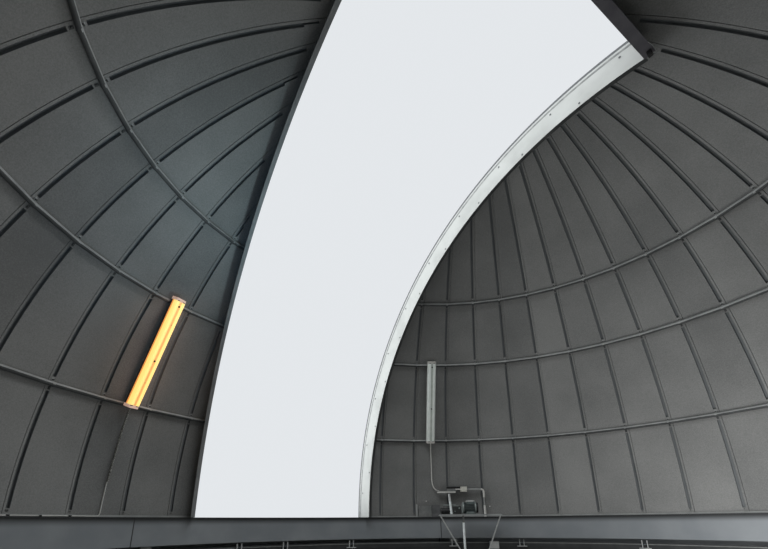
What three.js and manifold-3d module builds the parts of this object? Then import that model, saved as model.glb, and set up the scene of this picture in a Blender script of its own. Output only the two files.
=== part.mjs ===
// A rotating hemispherical observatory dome on its round wall, in millimetres, +Z up.
// The origin is on the ground at the centre of the wall. +X points to the foot of the slit, +Y is left.

import * as THREE from "three";
import { mergeVertices } from "three/addons/utils/BufferGeometryUtils.js";
import Module from "manifold-3d";

const wasm = await Module();
wasm.setup();

const SEAT = 0.3; // gap left between pieces that rest on each other
const FAR = 6000; // past the dome on every side
const WIDE = 3000; // past the shutters on both sides

// Dome shell. Heights are measured from the centre of its curve.
const DOME_RADIUS = 4200; // inner face of the lining, at the seams
const DOME_CENTRE_HEIGHT = 1800;
const SHELL_THICKNESS = 40;
const PANELS = 43; // whole panels, between the first seams on either side of the slit
const FIRST_SEAM = 20.53; // degrees round from the middle of the slit
const PANEL_TURN = (360 - 2 * FIRST_SEAM) / PANELS;
const SECTOR_GAP = 0.004; // degrees left at each end of a sector
const CROWN_RISE = 82.5; // degrees above the centre where the panels end
const CROWN_STEPS = 5; // bends in the panels between the top ring and the crown

// Slots that run up the seams through the lining, in tiers between the ring tubes
const SLOT_WIDTH = 33;
const SLOT_DEPTH = 28;
const SLOT_CLEAR = 0.95; // degrees that a slot stays back from a ring tube
const SLOT_START = -0.2; // just below the centre of the curve
const SLOT_TOP = 80;

// Ring tubes, which follow the panels round from one slit arch to the other
const RINGS = [
  { name: "ring_tube_low", rise: 15.1 },
  { name: "ring_tube_middle", rise: 31.9 },
  { name: "ring_tube_high", rise: 45.1 },
];
const RING_TUBE_RADIUS = 22.5;
const RING_TUBE_SIDES = 8;

// Slit and its frame
const SLIT_HALF_WIDTH = 1218;
const SLIT_END = -840; // x of the cross beam that closes the slit behind the zenith
const PLATE = 10;
const ARCH_INNER = 3843;
const ARCH_LIP = 4162;
const ARCH_FLANGE_WIDTH = 84; // behind the shell
const ARCH_INNER_FLANGE_WIDTH = 44;
const ARCH_OUTER_FLANGE = 4082;
const ARCH_SWEEP = { from: -2.5, to: 107.5, steps: 22 };
const BEAM_BOTTOM = 3738;
const BEAM_TOP = 4165;
const BEAM_FLANGE = 90;

// Base ring, which turns with the dome: an upside-down channel with a drip apron and an outer skirt
const RING_INNER = 4137;
const RING_TOP = -80;
const WEB_BOTTOM = -390;
const WEB_THICKNESS = 8;
const CHANNEL_OUTER = 4250;
const APRON_HEIGHT = -165;
const SKIRT_RADIUS = 4414;
const SKIRT_TOP = -190;
const SKIRT_BOTTOM = -600;
const SKIRT_THICKNESS = 6;
const ROUND_STEPS = 48;

// Fixed round wall with the steel plate on its top
const WALL_INNER = 4150;
const WALL_OUTER = 4370;
const WALL_PLATE_BOTTOM = -520;
const WALL_PLATE_THICKNESS = 12;
const WALL_PLATE_SETBACK = 4;
const UPSTAND_TOP = -440;
const WALL_QUARTERS = 4;

// Support rollers
const ROLLERS = 6;
const FIRST_ROLLER = 23.94;
const ROLLER_CIRCLE = 4193;
const WHEEL_RADIUS = 80;
const WHEEL_WIDTH = 40;
const WHEEL_SIDES = 20;
const AXLE_RADIUS = 15;
const AXLE_SIDES = 16;
const CHEEK = 8;
const CHEEK_GAP = 2;
const CHEEK_WIDTH = 120;
const CHEEK_TOP = -130;
const ROLLER_FOOT = { length: 180, inner: 38, outer: 50, thickness: 12 };

// Shutter leaves, parked open on either side of the slit, and their two rails
const LEAF_INNER = 4310;
const LEAF_SHEET = 12;
const LEAF_NEAR = 1365;
const LEAF_FAR = 2600;
const LEAF_NEAR_FLANGE = 4200;
const LEAF_FAR_FLANGE = 4110;
const LEAF_SWEEP = { from: -2.5, to: 104.5, steps: 22 };
const RAIL_LENGTH = 5280;
const FRONT_RAIL = { x: [4300, 4360], z: [-200, -90] };
const FRONT_ARMS = { places: [-2500, -1500, 1500, 2500], width: 50, z: [-190, -130], into: 10 };
const REAR_RAIL = { x: [-1070, -1010], z: [4122, 4178] };
const REAR_POSTS = { places: [-2500, -1400, -300, 300, 1400, 2500], width: 60, below: 150 };

// Lamps and wiring boxes on the inside
const LAMP_AZIMUTH = FIRST_SEAM + 1.5 * PANEL_TURN; // the middle of the second whole panel
const LAMP = { length: 1298, width: 139, depth: 92 };
const LAMP_EDGES = { chamfer: 8, edge: 12, waist: 41, shoulder: 14, front: 26 };
const LAMP_OFF = 1; // between a lamp and the ring tubes
const LAMP_RAISED = 30; // along its run, from the middle between the two rings
const CONDUIT = { radius: 13, bend: 60, sides: 8, steps: 26, off: 12 };
const SOCKET_BOX = { azimuth: -36.2, width: 460, height: 100, depth: 60, middle: 330, off: 41 };
const JUNCTION_BOX = { azimuth: -30.2, width: 200, height: 165, depth: 40, off: 10 };
const TAIL_AZIMUTH = -43.1; // where the last conduit drops to the base ring, on a seam

// Drive on its shelf, which stands on the fixed wall. Here +X points out from the dome's axis.
const DRIVE_AZIMUTH = -39.4;
const SHELF = { inner: 3740, outer: 3990, half: 450, top: -50, thickness: 8, edge: 18 };
const STRUT = { radius: 14, sides: 8, inset: 30, end: 25, meet: -92, apart: 20, foot: -950 };
const STRUT_PLATE = { along: [-140, 120], radii: [WALL_INNER - 40, WALL_INNER + 30], z: [-1010, -890] };
const LEG = { radius: 19, sides: 12, inset: 60, along: 100, foot: 120, footHeight: 10 };
const POST = { x: 3761, along: [268, 292], top: 246, radius: 16.5, sides: 12 };
const DRIVE_MIDDLE = 3875;
const MOTOR = { radius: 84, length: 230, along: -15, sides: 24, axis: 96 };
const MOTOR_FEET = { half: 75, along: [-100, 70], height: 40 };
const TERMINAL_BOX = { half: 55, along: [-80, 40], z: [150, 200] };
const GEARBOX = { half: 80, along: [100 + SEAT, 250], height: 125 };
const GEARBOX_HUB = { radius: 46, length: 130, along: 356, sides: 20, axis: 50 };
const HUB_SHAFT = { radius: 16, length: 70, along: 270, sides: 12, axis: 50 };

const surface = (name, color, roughness, metalness) =>
  new THREE.MeshStandardMaterial({ name, color, roughness, metalness });
const LINING = surface("grey_lining", 0x4d4f4f, 0.9, 0);
const GREY_STEEL = surface("grey_steel", 0x6d7071, 0.5, 0.3);
const LIGHT_STEEL = surface("light_steel", 0xb4b6b4, 0.45, 0.3);
const DARK_STEEL = surface("dark_steel", 0x2e3030, 0.6, 0.3);
const WHITE_PAINT = surface("white_paint", 0xdfe1df, 0.5, 0);
const RENDER = surface("wall_render", 0xc9c7c0, 0.9, 0);
const MACHINE = surface("machine_green", 0x77857e, 0.5, 0.2);
const TYRE = surface("roller_tread", 0x2a2a2b, 0.7, 0);
const PLASTIC = surface("white_plastic", 0xd8d8d2, 0.5, 0);

const radians = THREE.MathUtils.degToRad;

// A closed three.js geometry as a manifold solid.
function solidOf(geometry) {
  const bare = geometry.clone();
  bare.deleteAttribute("normal");
  bare.deleteAttribute("uv");
  const merged = mergeVertices(bare, 1e-4);
  const vertProperties = new Float32Array(merged.attributes.position.array);
  const triVerts = new Uint32Array(merged.index.array);
  return new wasm.Manifold(new wasm.Mesh({ numProp: 3, vertProperties, triVerts }));
}

function geometryOf(solid) {
  const mesh = solid.getMesh();
  const geometry = new THREE.BufferGeometry();
  geometry.setAttribute("position", new THREE.BufferAttribute(new Float32Array(mesh.vertProperties), 3));
  geometry.setIndex(new THREE.BufferAttribute(new Uint32Array(mesh.triVerts), 1));
  geometry.computeVertexNormals();
  return geometry;
}

// Turns an anticlockwise outline of [radius, along] points about the Y axis, from one angle to another.
// Angle 0 is +X and 90 is +Z. Open sweeps get a flat face at each end, and a full turn closes on itself.
function turned(outline, from, to, steps) {
  const points = outline.map(([radius, along]) => new THREE.Vector2(radius, along));
  const lathe = new THREE.LatheGeometry([...points, points[0]], steps, radians(90 - to), radians(to - from));
  const row = points.length + 1;
  const last = steps * row;
  let index = [...lathe.index.array];
  if (to - from >= 360) {
    index = index.map((i) => (i >= last ? i - last : i));
  } else {
    for (const [a, b, c] of THREE.ShapeUtils.triangulateShape(points, [])) {
      index.push(a, b, c, last + a, last + c, last + b);
    }
  }
  lathe.setIndex(index);
  return lathe;
}

// The same outline turned about the Z axis, from one azimuth to another, anticlockwise seen from above.
function roundZ(outline, from, to, steps) {
  return turned(outline, -to, -from, steps).rotateX(Math.PI / 2);
}

function block(x0, x1, y0, y1, z0, z1) {
  const box = new THREE.BoxGeometry(x1 - x0, y1 - y0, z1 - z0);
  return box.translate((x0 + x1) / 2, (y0 + y1) / 2, (z0 + z1) / 2);
}

function join(first, ...rest) {
  return rest.reduce((sum, geometry) => sum.add(solidOf(geometry)), solidOf(first));
}

function onSphere(radius, rise) {
  return [radius * Math.cos(radians(rise)), radius * Math.sin(radians(rise))];
}

const mirrored = (outline) => outline.map(([radius, along]) => [radius, -along]).reverse();

const observatory = new THREE.Group();
const building = new THREE.Group();
const dome = new THREE.Group();
building.position.z = DOME_CENTRE_HEIGHT;
dome.position.z = DOME_CENTRE_HEIGHT;
observatory.add(building, dome);

function piece(group, name, geometry, material) {
  const mesh = new THREE.Mesh(geometry, material);
  mesh.name = name;
  group.add(mesh);
  return mesh;
}

// Rises where the panels bend: at the rings, between them, and evenly above the last ring.
function panelRises() {
  const levels = [0];
  let below = 0;
  for (const { rise } of RINGS) {
    levels.push((below + rise) / 2, rise);
    below = rise;
  }
  for (let step = 1; step <= CROWN_STEPS; step++) {
    levels.push(below + ((CROWN_RISE - below) * step) / CROWN_STEPS);
  }
  return levels;
}

// Outline of a panel: a short upright foot, then the dome's curve, with its thickness.
function shellOutline(innerRadius, outerRadius, foot) {
  const levels = panelRises();
  const outer = levels.map((level) => onSphere(outerRadius, level));
  const inner = levels.map((level) => onSphere(innerRadius, level)).reverse();
  return [[innerRadius, foot], [outerRadius, foot], ...outer, ...inner];
}

const shellOuter = DOME_RADIUS + SHELL_THICKNESS;
const archBack = SLIT_HALF_WIDTH + PLATE;
const slitCut = solidOf(
  block(SLIT_END - PLATE - SEAT, FAR, -archBack - SEAT, archBack + SEAT, -DOME_CENTRE_HEIGHT, FAR),
);

// Cutters for the slots up one seam.
function seamSlots(azimuth) {
  const outline = [
    [DOME_RADIUS - SLOT_DEPTH, -SLOT_WIDTH / 2],
    [DOME_RADIUS + SLOT_DEPTH, -SLOT_WIDTH / 2],
    [DOME_RADIUS + SLOT_DEPTH, SLOT_WIDTH / 2],
    [DOME_RADIUS - SLOT_DEPTH, SLOT_WIDTH / 2],
  ];
  const tiers = [];
  let from = SLOT_START;
  for (const { rise } of RINGS) {
    tiers.push([from, rise - SLOT_CLEAR, 2]);
    from = rise + SLOT_CLEAR;
  }
  tiers.push([from, SLOT_TOP, CROWN_STEPS]);
  return tiers.map(([low, high, steps]) => turned(outline, low, high, steps).rotateZ(radians(azimuth)));
}

const SECTORS = [
  ["shell_left_front", 0, 6],
  ["shell_left_side", 6, 13],
  ["shell_left_rear", 13, 19],
  ["shell_rear", 19, 24],
  ["shell_right_rear", 24, 30],
  ["shell_right_side", 30, 37],
  ["shell_right_front", 37, 43],
];

for (const [name, first, last] of SECTORS) {
  // The end sectors carry one more panel, which the slit cuts.
  const from = first === 0 ? first - 1 : first;
  const to = last === PANELS ? last + 1 : last;
  const turn = (seam) => FIRST_SEAM + seam * PANEL_TURN;
  const outline = shellOutline(DOME_RADIUS, shellOuter, RING_TOP + SEAT);
  let shell = solidOf(roundZ(outline, turn(from) + SECTOR_GAP, turn(to) - SECTOR_GAP, to - from));
  for (let seam = first; seam <= last; seam++) {
    for (const slot of seamSlots(turn(seam))) shell = shell.subtract(solidOf(slot));
  }
  piece(dome, name, geometryOf(shell.subtract(slitCut)), LINING);
}

// Ring tubes, bent at each seam so that they lie along the panels.
const halfPanel = Math.cos(radians(PANEL_TURN / 2));
const steepestBend = Math.max(...panelRises().map((rise, i, rises) => (i ? rise - rises[i - 1] : 0)));
for (const { name, rise } of RINGS) {
  const offset = (RING_TUBE_RADIUS + SEAT) / Math.cos(radians(steepestBend / 2));
  const [centreR, centreZ] = onSphere(DOME_RADIUS - offset / halfPanel, rise);
  const outline = [];
  for (let side = 0; side < RING_TUBE_SIDES; side++) {
    const angle = radians(rise) + ((side + 0.5) * 2 * Math.PI) / RING_TUBE_SIDES;
    const [out, up] = [RING_TUBE_RADIUS * Math.cos(angle), RING_TUBE_RADIUS * Math.sin(angle)];
    outline.push([centreR + out, centreZ + up]);
  }
  const from = FIRST_SEAM - PANEL_TURN;
  const tube = solidOf(roundZ(outline, from, from + (PANELS + 2) * PANEL_TURN, PANELS + 2));
  piece(dome, name, geometryOf(tube.subtract(slitCut)), LIGHT_STEEL);
}

// Slit arches: a plate facing the slit, an inner and an outer flange, and the lip that the shutters close on.
const archEdge = SLIT_HALF_WIDTH + ARCH_FLANGE_WIDTH;
const archInnerEdge = SLIT_HALF_WIDTH + ARCH_INNER_FLANGE_WIDTH;
const ARCH_OUTLINE = [
  [ARCH_INNER, SLIT_HALF_WIDTH],
  [ARCH_LIP, SLIT_HALF_WIDTH],
  [ARCH_LIP, archBack],
  [ARCH_OUTER_FLANGE, archBack],
  [ARCH_OUTER_FLANGE, archEdge],
  [ARCH_OUTER_FLANGE - PLATE, archEdge],
  [ARCH_OUTER_FLANGE - PLATE, archBack],
  [ARCH_INNER + PLATE, archBack],
  [ARCH_INNER + PLATE, archInnerEdge],
  [ARCH_INNER, archInnerEdge],
];
const archRoom = solidOf(block(SLIT_END - PLATE, FAR, -WIDE, WIDE, RING_TOP + SEAT, FAR));
for (const [name, outline] of [
  ["slit_arch_left", ARCH_OUTLINE],
  ["slit_arch_right", mirrored(ARCH_OUTLINE)],
]) {
  const sweep = turned(outline, ARCH_SWEEP.from, ARCH_SWEEP.to, ARCH_SWEEP.steps);
  piece(dome, name, geometryOf(solidOf(sweep).intersect(archRoom)), LIGHT_STEEL);
}

// Cross beam at the slit's upper end.
const beamHalf = SLIT_HALF_WIDTH - SEAT;
const beam = join(
  block(SLIT_END - PLATE, SLIT_END, -beamHalf, beamHalf, BEAM_BOTTOM, BEAM_TOP),
  block(SLIT_END - BEAM_FLANGE, SLIT_END, -beamHalf, beamHalf, BEAM_BOTTOM, BEAM_BOTTOM + PLATE),
);
piece(dome, "slit_cross_beam", geometryOf(beam), DARK_STEEL);

// Base ring.
const BASE_RING_OUTLINE = [
  [RING_INNER, WEB_BOTTOM],
  [RING_INNER + WEB_THICKNESS, WEB_BOTTOM],
  [RING_INNER + WEB_THICKNESS, RING_TOP - PLATE],
  [CHANNEL_OUTER - WEB_THICKNESS, RING_TOP - PLATE],
  [CHANNEL_OUTER - WEB_THICKNESS, APRON_HEIGHT - WEB_THICKNESS],
  [SKIRT_RADIUS - SKIRT_THICKNESS, SKIRT_TOP - WEB_THICKNESS],
  [SKIRT_RADIUS - SKIRT_THICKNESS, SKIRT_BOTTOM],
  [SKIRT_RADIUS, SKIRT_BOTTOM],
  [SKIRT_RADIUS, SKIRT_TOP],
  [CHANNEL_OUTER, APRON_HEIGHT],
  [CHANNEL_OUTER, RING_TOP],
  [RING_INNER, RING_TOP],
];
piece(dome, "base_ring", geometryOf(solidOf(roundZ(BASE_RING_OUTLINE, 0, 360, ROUND_STEPS))), GREY_STEEL);

// Room that the shell and the apron take up, for cutting the feet of what stands on them.
const shellRoom = solidOf(
  roundZ(
    shellOutline(ARCH_INNER, shellOuter + SEAT, RING_TOP),
    FIRST_SEAM - PANEL_TURN,
    FIRST_SEAM + (PANELS + 1) * PANEL_TURN,
    PANELS + 2,
  ),
);
const apronSlope = (SKIRT_TOP - APRON_HEIGHT) / (SKIRT_RADIUS - CHANNEL_OUTER);
const underApron = APRON_HEIGHT + SEAT - (CHANNEL_OUTER - RING_INNER) * apronSlope;
const apronRoom = solidOf(
  roundZ(
    [
      [RING_INNER, SKIRT_BOTTOM],
      [SKIRT_RADIUS + SEAT, SKIRT_BOTTOM],
      [SKIRT_RADIUS + SEAT, SKIRT_TOP + SEAT],
      [RING_INNER, underApron],
    ],
    0,
    360,
    ROUND_STEPS,
  ),
);

// Front shutter rail, bolted down on the apron, with arms out to its ends.
const railHalf = RAIL_LENGTH / 2;
const frontArms = FRONT_ARMS.places.map((middle) => {
  const y0 = middle - FRONT_ARMS.width / 2;
  const y1 = middle + FRONT_ARMS.width / 2;
  const nearest = Math.min(Math.abs(y0), Math.abs(y1));
  const x = Math.sqrt((CHANNEL_OUTER + FRONT_ARMS.into) ** 2 - nearest ** 2);
  return block(x, FRONT_RAIL.x[1], y0, y1, ...FRONT_ARMS.z);
});
const frontBar = join(block(...FRONT_RAIL.x, -railHalf, railHalf, ...FRONT_RAIL.z), ...frontArms);
piece(dome, "shutter_rail_front", geometryOf(frontBar.subtract(apronRoom)), LIGHT_STEEL);

// Rear shutter rail, over the crown of the dome on posts.
const rearPosts = REAR_POSTS.places.map((middle) => {
  const sides = [middle - REAR_POSTS.width / 2, middle + REAR_POSTS.width / 2];
  const surfaceZ = Math.sqrt(shellOuter ** 2 - REAR_RAIL.x[0] ** 2 - middle ** 2);
  return block(...REAR_RAIL.x, ...sides, surfaceZ - REAR_POSTS.below, REAR_RAIL.z[1]);
});
const rearBar = join(block(...REAR_RAIL.x, -railHalf, railHalf, ...REAR_RAIL.z), ...rearPosts);
piece(dome, "shutter_rail_rear", geometryOf(rearBar.subtract(shellRoom)), LIGHT_STEEL);

// Shutter leaves: a curved sheet with a deep flange on each long side, standing on the front rail.
const LEAF_OUTLINE = [
  [LEAF_NEAR_FLANGE, LEAF_NEAR],
  [LEAF_INNER + LEAF_SHEET, LEAF_NEAR],
  [LEAF_INNER + LEAF_SHEET, LEAF_FAR],
  [LEAF_FAR_FLANGE, LEAF_FAR],
  [LEAF_FAR_FLANGE, LEAF_FAR - LEAF_SHEET],
  [LEAF_INNER, LEAF_FAR - LEAF_SHEET],
  [LEAF_INNER, LEAF_NEAR + LEAF_SHEET],
  [LEAF_NEAR_FLANGE, LEAF_NEAR + LEAF_SHEET],
];
const leafRoom = solidOf(block(-WIDE, FAR, -WIDE, WIDE, FRONT_RAIL.z[1] + SEAT, FAR));
const railRoom = solidOf(
  block(REAR_RAIL.x[0] - SEAT, REAR_RAIL.x[1] + SEAT, -WIDE, WIDE, BEAM_BOTTOM, REAR_RAIL.z[1] + SEAT),
);
for (const [name, outline] of [
  ["shutter_leaf_left", LEAF_OUTLINE],
  ["shutter_leaf_right", mirrored(LEAF_OUTLINE)],
]) {
  const sweep = turned(outline, LEAF_SWEEP.from, LEAF_SWEEP.to, LEAF_SWEEP.steps);
  piece(dome, name, geometryOf(solidOf(sweep).intersect(leafRoom).subtract(railRoom)), WHITE_PAINT);
}

// Lamps, each fixed across the low and the middle ring tube. Here x is the radius and y the height.
function ringFace(rise) {
  const [radius, height] = onSphere(DOME_RADIUS - RING_TUBE_RADIUS - SEAT, rise);
  return new THREE.Vector2(radius * halfPanel, height);
}
const lowRing = ringFace(RINGS[0].rise);
const middleRing = ringFace(RINGS[1].rise);
const lampRun = middleRing.clone().sub(lowRing).normalize();
const lampInward = new THREE.Vector2(-lampRun.y, lampRun.x);
const lampCentre = lowRing.clone().add(middleRing).divideScalar(2);
lampCentre.addScaledVector(lampInward, RING_TUBE_RADIUS + SEAT + LAMP_OFF);
lampCentre.addScaledVector(lampRun, LAMP_RAISED);
const lampSide = LAMP.width / 2;
const lampHalf = [
  [lampSide - LAMP_EDGES.chamfer, 0],
  [lampSide, LAMP_EDGES.edge],
  [lampSide, LAMP_EDGES.waist],
  [lampSide - LAMP_EDGES.shoulder, LAMP.depth - LAMP_EDGES.chamfer],
  [lampSide - LAMP_EDGES.front, LAMP.depth],
];
const lampOutline = [...lampHalf, ...lampHalf.map(([x, y]) => [-x, y]).reverse()];
const lampSection = new THREE.Shape(lampOutline.map(([x, y]) => new THREE.Vector2(x, y)));
for (const [name, azimuth] of [
  ["lamp_left", LAMP_AZIMUTH],
  ["lamp_right", -LAMP_AZIMUTH],
]) {
  const bar = new THREE.ExtrudeGeometry(lampSection, { depth: LAMP.length, bevelEnabled: false, steps: 1 });
  bar.translate(0, 0, -LAMP.length / 2);
  const along = new THREE.Vector3(lampRun.x, 0, lampRun.y);
  const inward = new THREE.Vector3(lampInward.x, 0, lampInward.y);
  const place = new THREE.Matrix4().makeBasis(inward.clone().cross(along), inward, along);
  bar.applyMatrix4(place.setPosition(lampCentre.x, 0, lampCentre.y));
  piece(dome, name, geometryOf(solidOf(bar)), PLASTIC).rotation.z = radians(azimuth);
}

// Round conduit through points given as [azimuth, radius, height].
function conduit(points) {
  const spots = points.map(([azimuth, radius, height]) => {
    const angle = radians(azimuth);
    return new THREE.Vector3(radius * Math.cos(angle), radius * Math.sin(angle), height);
  });
  const path = new THREE.CurvePath();
  let cursor = spots[0];
  for (let i = 1; i < spots.length - 1; i++) {
    const corner = spots[i];
    const before = spots[i - 1].clone().sub(corner);
    const after = spots[i + 1].clone().sub(corner);
    const into = corner.clone().add(before.setLength(Math.min(CONDUIT.bend, before.length() / 2)));
    const out = corner.clone().add(after.setLength(Math.min(CONDUIT.bend, after.length() / 2)));
    path.add(new THREE.LineCurve3(cursor, into));
    path.add(new THREE.QuadraticBezierCurve3(into, corner, out));
    cursor = out;
  }
  path.add(new THREE.LineCurve3(cursor, spots.at(-1)));
  const round = new THREE.EllipseCurve(0, 0, CONDUIT.radius, CONDUIT.radius);
  const section = new THREE.Shape(round.getPoints(CONDUIT.sides));
  return new THREE.ExtrudeGeometry(section, { extrudePath: path, steps: CONDUIT.steps, bevelEnabled: false });
}

// How far from the dome's axis a conduit runs at a height, over a seam or against the middle of a panel.
function besideSeam(height) {
  return Math.sqrt(DOME_RADIUS ** 2 - Math.max(0, height) ** 2) - CONDUIT.radius - CONDUIT.off;
}
const besidePanel = (height) => besideSeam(height) - DOME_RADIUS * (1 - halfPanel);
const lampFoot = lampCentre.clone().addScaledVector(lampRun, -LAMP.length / 2 - SEAT);
const lampMouth = lampFoot.clone().addScaledVector(lampInward, LAMP.depth * 0.4);
const underLamp = lampMouth.clone().addScaledVector(lampRun, -CONDUIT.bend);
const liesOnRing = RING_TOP + CONDUIT.radius + SEAT;
const drop = (azimuth, heights) => heights.map((height) => [azimuth, besidePanel(height), height]);

const leftRun = [
  [LAMP_AZIMUTH, lampMouth.x, lampMouth.y],
  [LAMP_AZIMUTH, underLamp.x, underLamp.y],
  ...drop(LAMP_AZIMUTH, [780, 560, 330, 100, liesOnRing + CONDUIT.bend]),
  ...[0.6, 5, 10, 15].map((turn) => [LAMP_AZIMUTH + turn, besidePanel(0), liesOnRing]),
];
piece(dome, "conduit_left", geometryOf(solidOf(conduit(leftRun))), LIGHT_STEEL);

// Box on a panel, turned to face the middle of the dome.
function wallBox(name, { azimuth, width, height, depth, off }, middle, material) {
  const mesh = piece(dome, name, geometryOf(solidOf(new THREE.BoxGeometry(depth, width, height))), material);
  const radius = Math.sqrt(DOME_RADIUS ** 2 - middle ** 2) * halfPanel - depth / 2 - off;
  mesh.position.set(radius * Math.cos(radians(azimuth)), radius * Math.sin(radians(azimuth)), middle);
  mesh.rotation.z = radians(azimuth);
  return radius;
}
const boxRadius = wallBox("socket_box", SOCKET_BOX, SOCKET_BOX.middle, PLASTIC);
wallBox("junction_box", JUNCTION_BOX, RING_TOP + SEAT + JUNCTION_BOX.height / 2, GREY_STEEL);

// The right conduit bends level to the socket box, and a second one drops from the box to the base ring.
const boxEdge = THREE.MathUtils.radToDeg(SOCKET_BOX.width / 2 / boxRadius);
const boxEnd = [0.015, 0.6].map((turn) => turn + boxEdge); // at the box, and a little way out from it
const rightRun = [
  [-LAMP_AZIMUTH, lampMouth.x, lampMouth.y],
  [-LAMP_AZIMUTH, underLamp.x, underLamp.y],
  ...drop(-LAMP_AZIMUTH, [780, 600, 440]),
  [-LAMP_AZIMUTH - 0.1, (besidePanel(SOCKET_BOX.middle) + boxRadius) / 2, SOCKET_BOX.middle],
  [SOCKET_BOX.azimuth + boxEnd[1], boxRadius, SOCKET_BOX.middle],
  [SOCKET_BOX.azimuth + boxEnd[0], boxRadius, SOCKET_BOX.middle],
];
piece(dome, "conduit_right", geometryOf(solidOf(conduit(rightRun))), LIGHT_STEEL);

const tailRun = [
  [SOCKET_BOX.azimuth - boxEnd[0], boxRadius, SOCKET_BOX.middle],
  [SOCKET_BOX.azimuth - boxEnd[1], boxRadius, SOCKET_BOX.middle],
  [TAIL_AZIMUTH + 1, besideSeam(SOCKET_BOX.middle), SOCKET_BOX.middle],
  [TAIL_AZIMUTH, besideSeam(SOCKET_BOX.middle), SOCKET_BOX.middle - 25],
  ...[200, 80, RING_TOP + SEAT].map((height) => [TAIL_AZIMUTH, besideSeam(height), height]),
];
piece(dome, "conduit_tail", geometryOf(solidOf(conduit(tailRun))), LIGHT_STEEL);

// Round wall, in quarters, and the steel plate on it.
const quarterTurn = 360 / WALL_QUARTERS;
const WALL_OUTLINE = [
  [WALL_INNER, -DOME_CENTRE_HEIGHT],
  [WALL_OUTER, -DOME_CENTRE_HEIGHT],
  [WALL_OUTER, WALL_PLATE_BOTTOM - SEAT],
  [WALL_INNER, WALL_PLATE_BOTTOM - SEAT],
];
for (let quarter = 0; quarter < WALL_QUARTERS; quarter++) {
  const from = quarter * quarterTurn + SECTOR_GAP;
  const to = (quarter + 1) * quarterTurn - SECTOR_GAP;
  const wall = roundZ(WALL_OUTLINE, from, to, ROUND_STEPS / WALL_QUARTERS);
  piece(building, `ring_wall_${quarter + 1}`, geometryOf(solidOf(wall)), RENDER);
}
const plateTop = WALL_PLATE_BOTTOM + WALL_PLATE_THICKNESS;
const WALL_PLATE_OUTLINE = [
  [WALL_INNER - WEB_THICKNESS, WALL_PLATE_BOTTOM],
  [WALL_OUTER - WALL_PLATE_SETBACK, WALL_PLATE_BOTTOM],
  [WALL_OUTER - WALL_PLATE_SETBACK, plateTop],
  [WALL_INNER, plateTop],
  [WALL_INNER, UPSTAND_TOP],
  [WALL_INNER - WEB_THICKNESS, UPSTAND_TOP],
];
const wallPlate = solidOf(roundZ(WALL_PLATE_OUTLINE, 0, 360, ROUND_STEPS));
piece(building, "wall_plate", geometryOf(wallPlate), GREY_STEEL);

// Support rollers: a wheel on a fixed axle between two cheeks on a foot.
const wheelCentre = RING_TOP - PLATE - SEAT - WHEEL_RADIUS;
const cheekInside = WHEEL_WIDTH / 2 + CHEEK_GAP;
const cheekOutside = cheekInside + CHEEK;
const rollerFoot = plateTop + SEAT;
for (let i = 0; i < ROLLERS; i++) {
  const turn = radians(FIRST_ROLLER + (i * 360) / ROLLERS - 90);
  const axle = new THREE.CylinderGeometry(AXLE_RADIUS, AXLE_RADIUS, 2 * cheekOutside, AXLE_SIDES);
  axle.translate(0, ROLLER_CIRCLE, wheelCentre);
  const cheek = (y0, y1) => block(-CHEEK_WIDTH / 2, CHEEK_WIDTH / 2, y0, y1, rollerFoot, CHEEK_TOP);
  const stand = join(
    block(
      -ROLLER_FOOT.length / 2,
      ROLLER_FOOT.length / 2,
      ROLLER_CIRCLE - ROLLER_FOOT.inner,
      ROLLER_CIRCLE + ROLLER_FOOT.outer,
      rollerFoot,
      rollerFoot + ROLLER_FOOT.thickness,
    ),
    cheek(ROLLER_CIRCLE - cheekOutside, ROLLER_CIRCLE - cheekInside),
    cheek(ROLLER_CIRCLE + cheekInside, ROLLER_CIRCLE + cheekOutside),
    axle,
  );
  piece(building, `roller_stand_${i + 1}`, geometryOf(stand), GREY_STEEL).rotation.z = turn;
  const rim = [
    [AXLE_RADIUS + SEAT, ROLLER_CIRCLE - WHEEL_WIDTH / 2],
    [WHEEL_RADIUS, ROLLER_CIRCLE - WHEEL_WIDTH / 2],
    [WHEEL_RADIUS, ROLLER_CIRCLE + WHEEL_WIDTH / 2],
    [AXLE_RADIUS + SEAT, ROLLER_CIRCLE + WHEEL_WIDTH / 2],
  ];
  const wheel = turned(rim, 0, 360, WHEEL_SIDES).translate(0, 0, wheelCentre);
  piece(building, `roller_wheel_${i + 1}`, geometryOf(solidOf(wheel)), TYRE).rotation.z = turn;
}

// A straight round bar between two points.
function rod(from, to, radius, sides) {
  const start = new THREE.Vector3(...from);
  const end = new THREE.Vector3(...to);
  const run = end.clone().sub(start);
  const bar = new THREE.CylinderGeometry(radius, radius, run.length(), sides);
  const turn = new THREE.Quaternion().setFromUnitVectors(new THREE.Vector3(0, 1, 0), run.normalize());
  return bar.applyQuaternion(turn).translate(...start.add(end).divideScalar(2));
}

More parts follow.
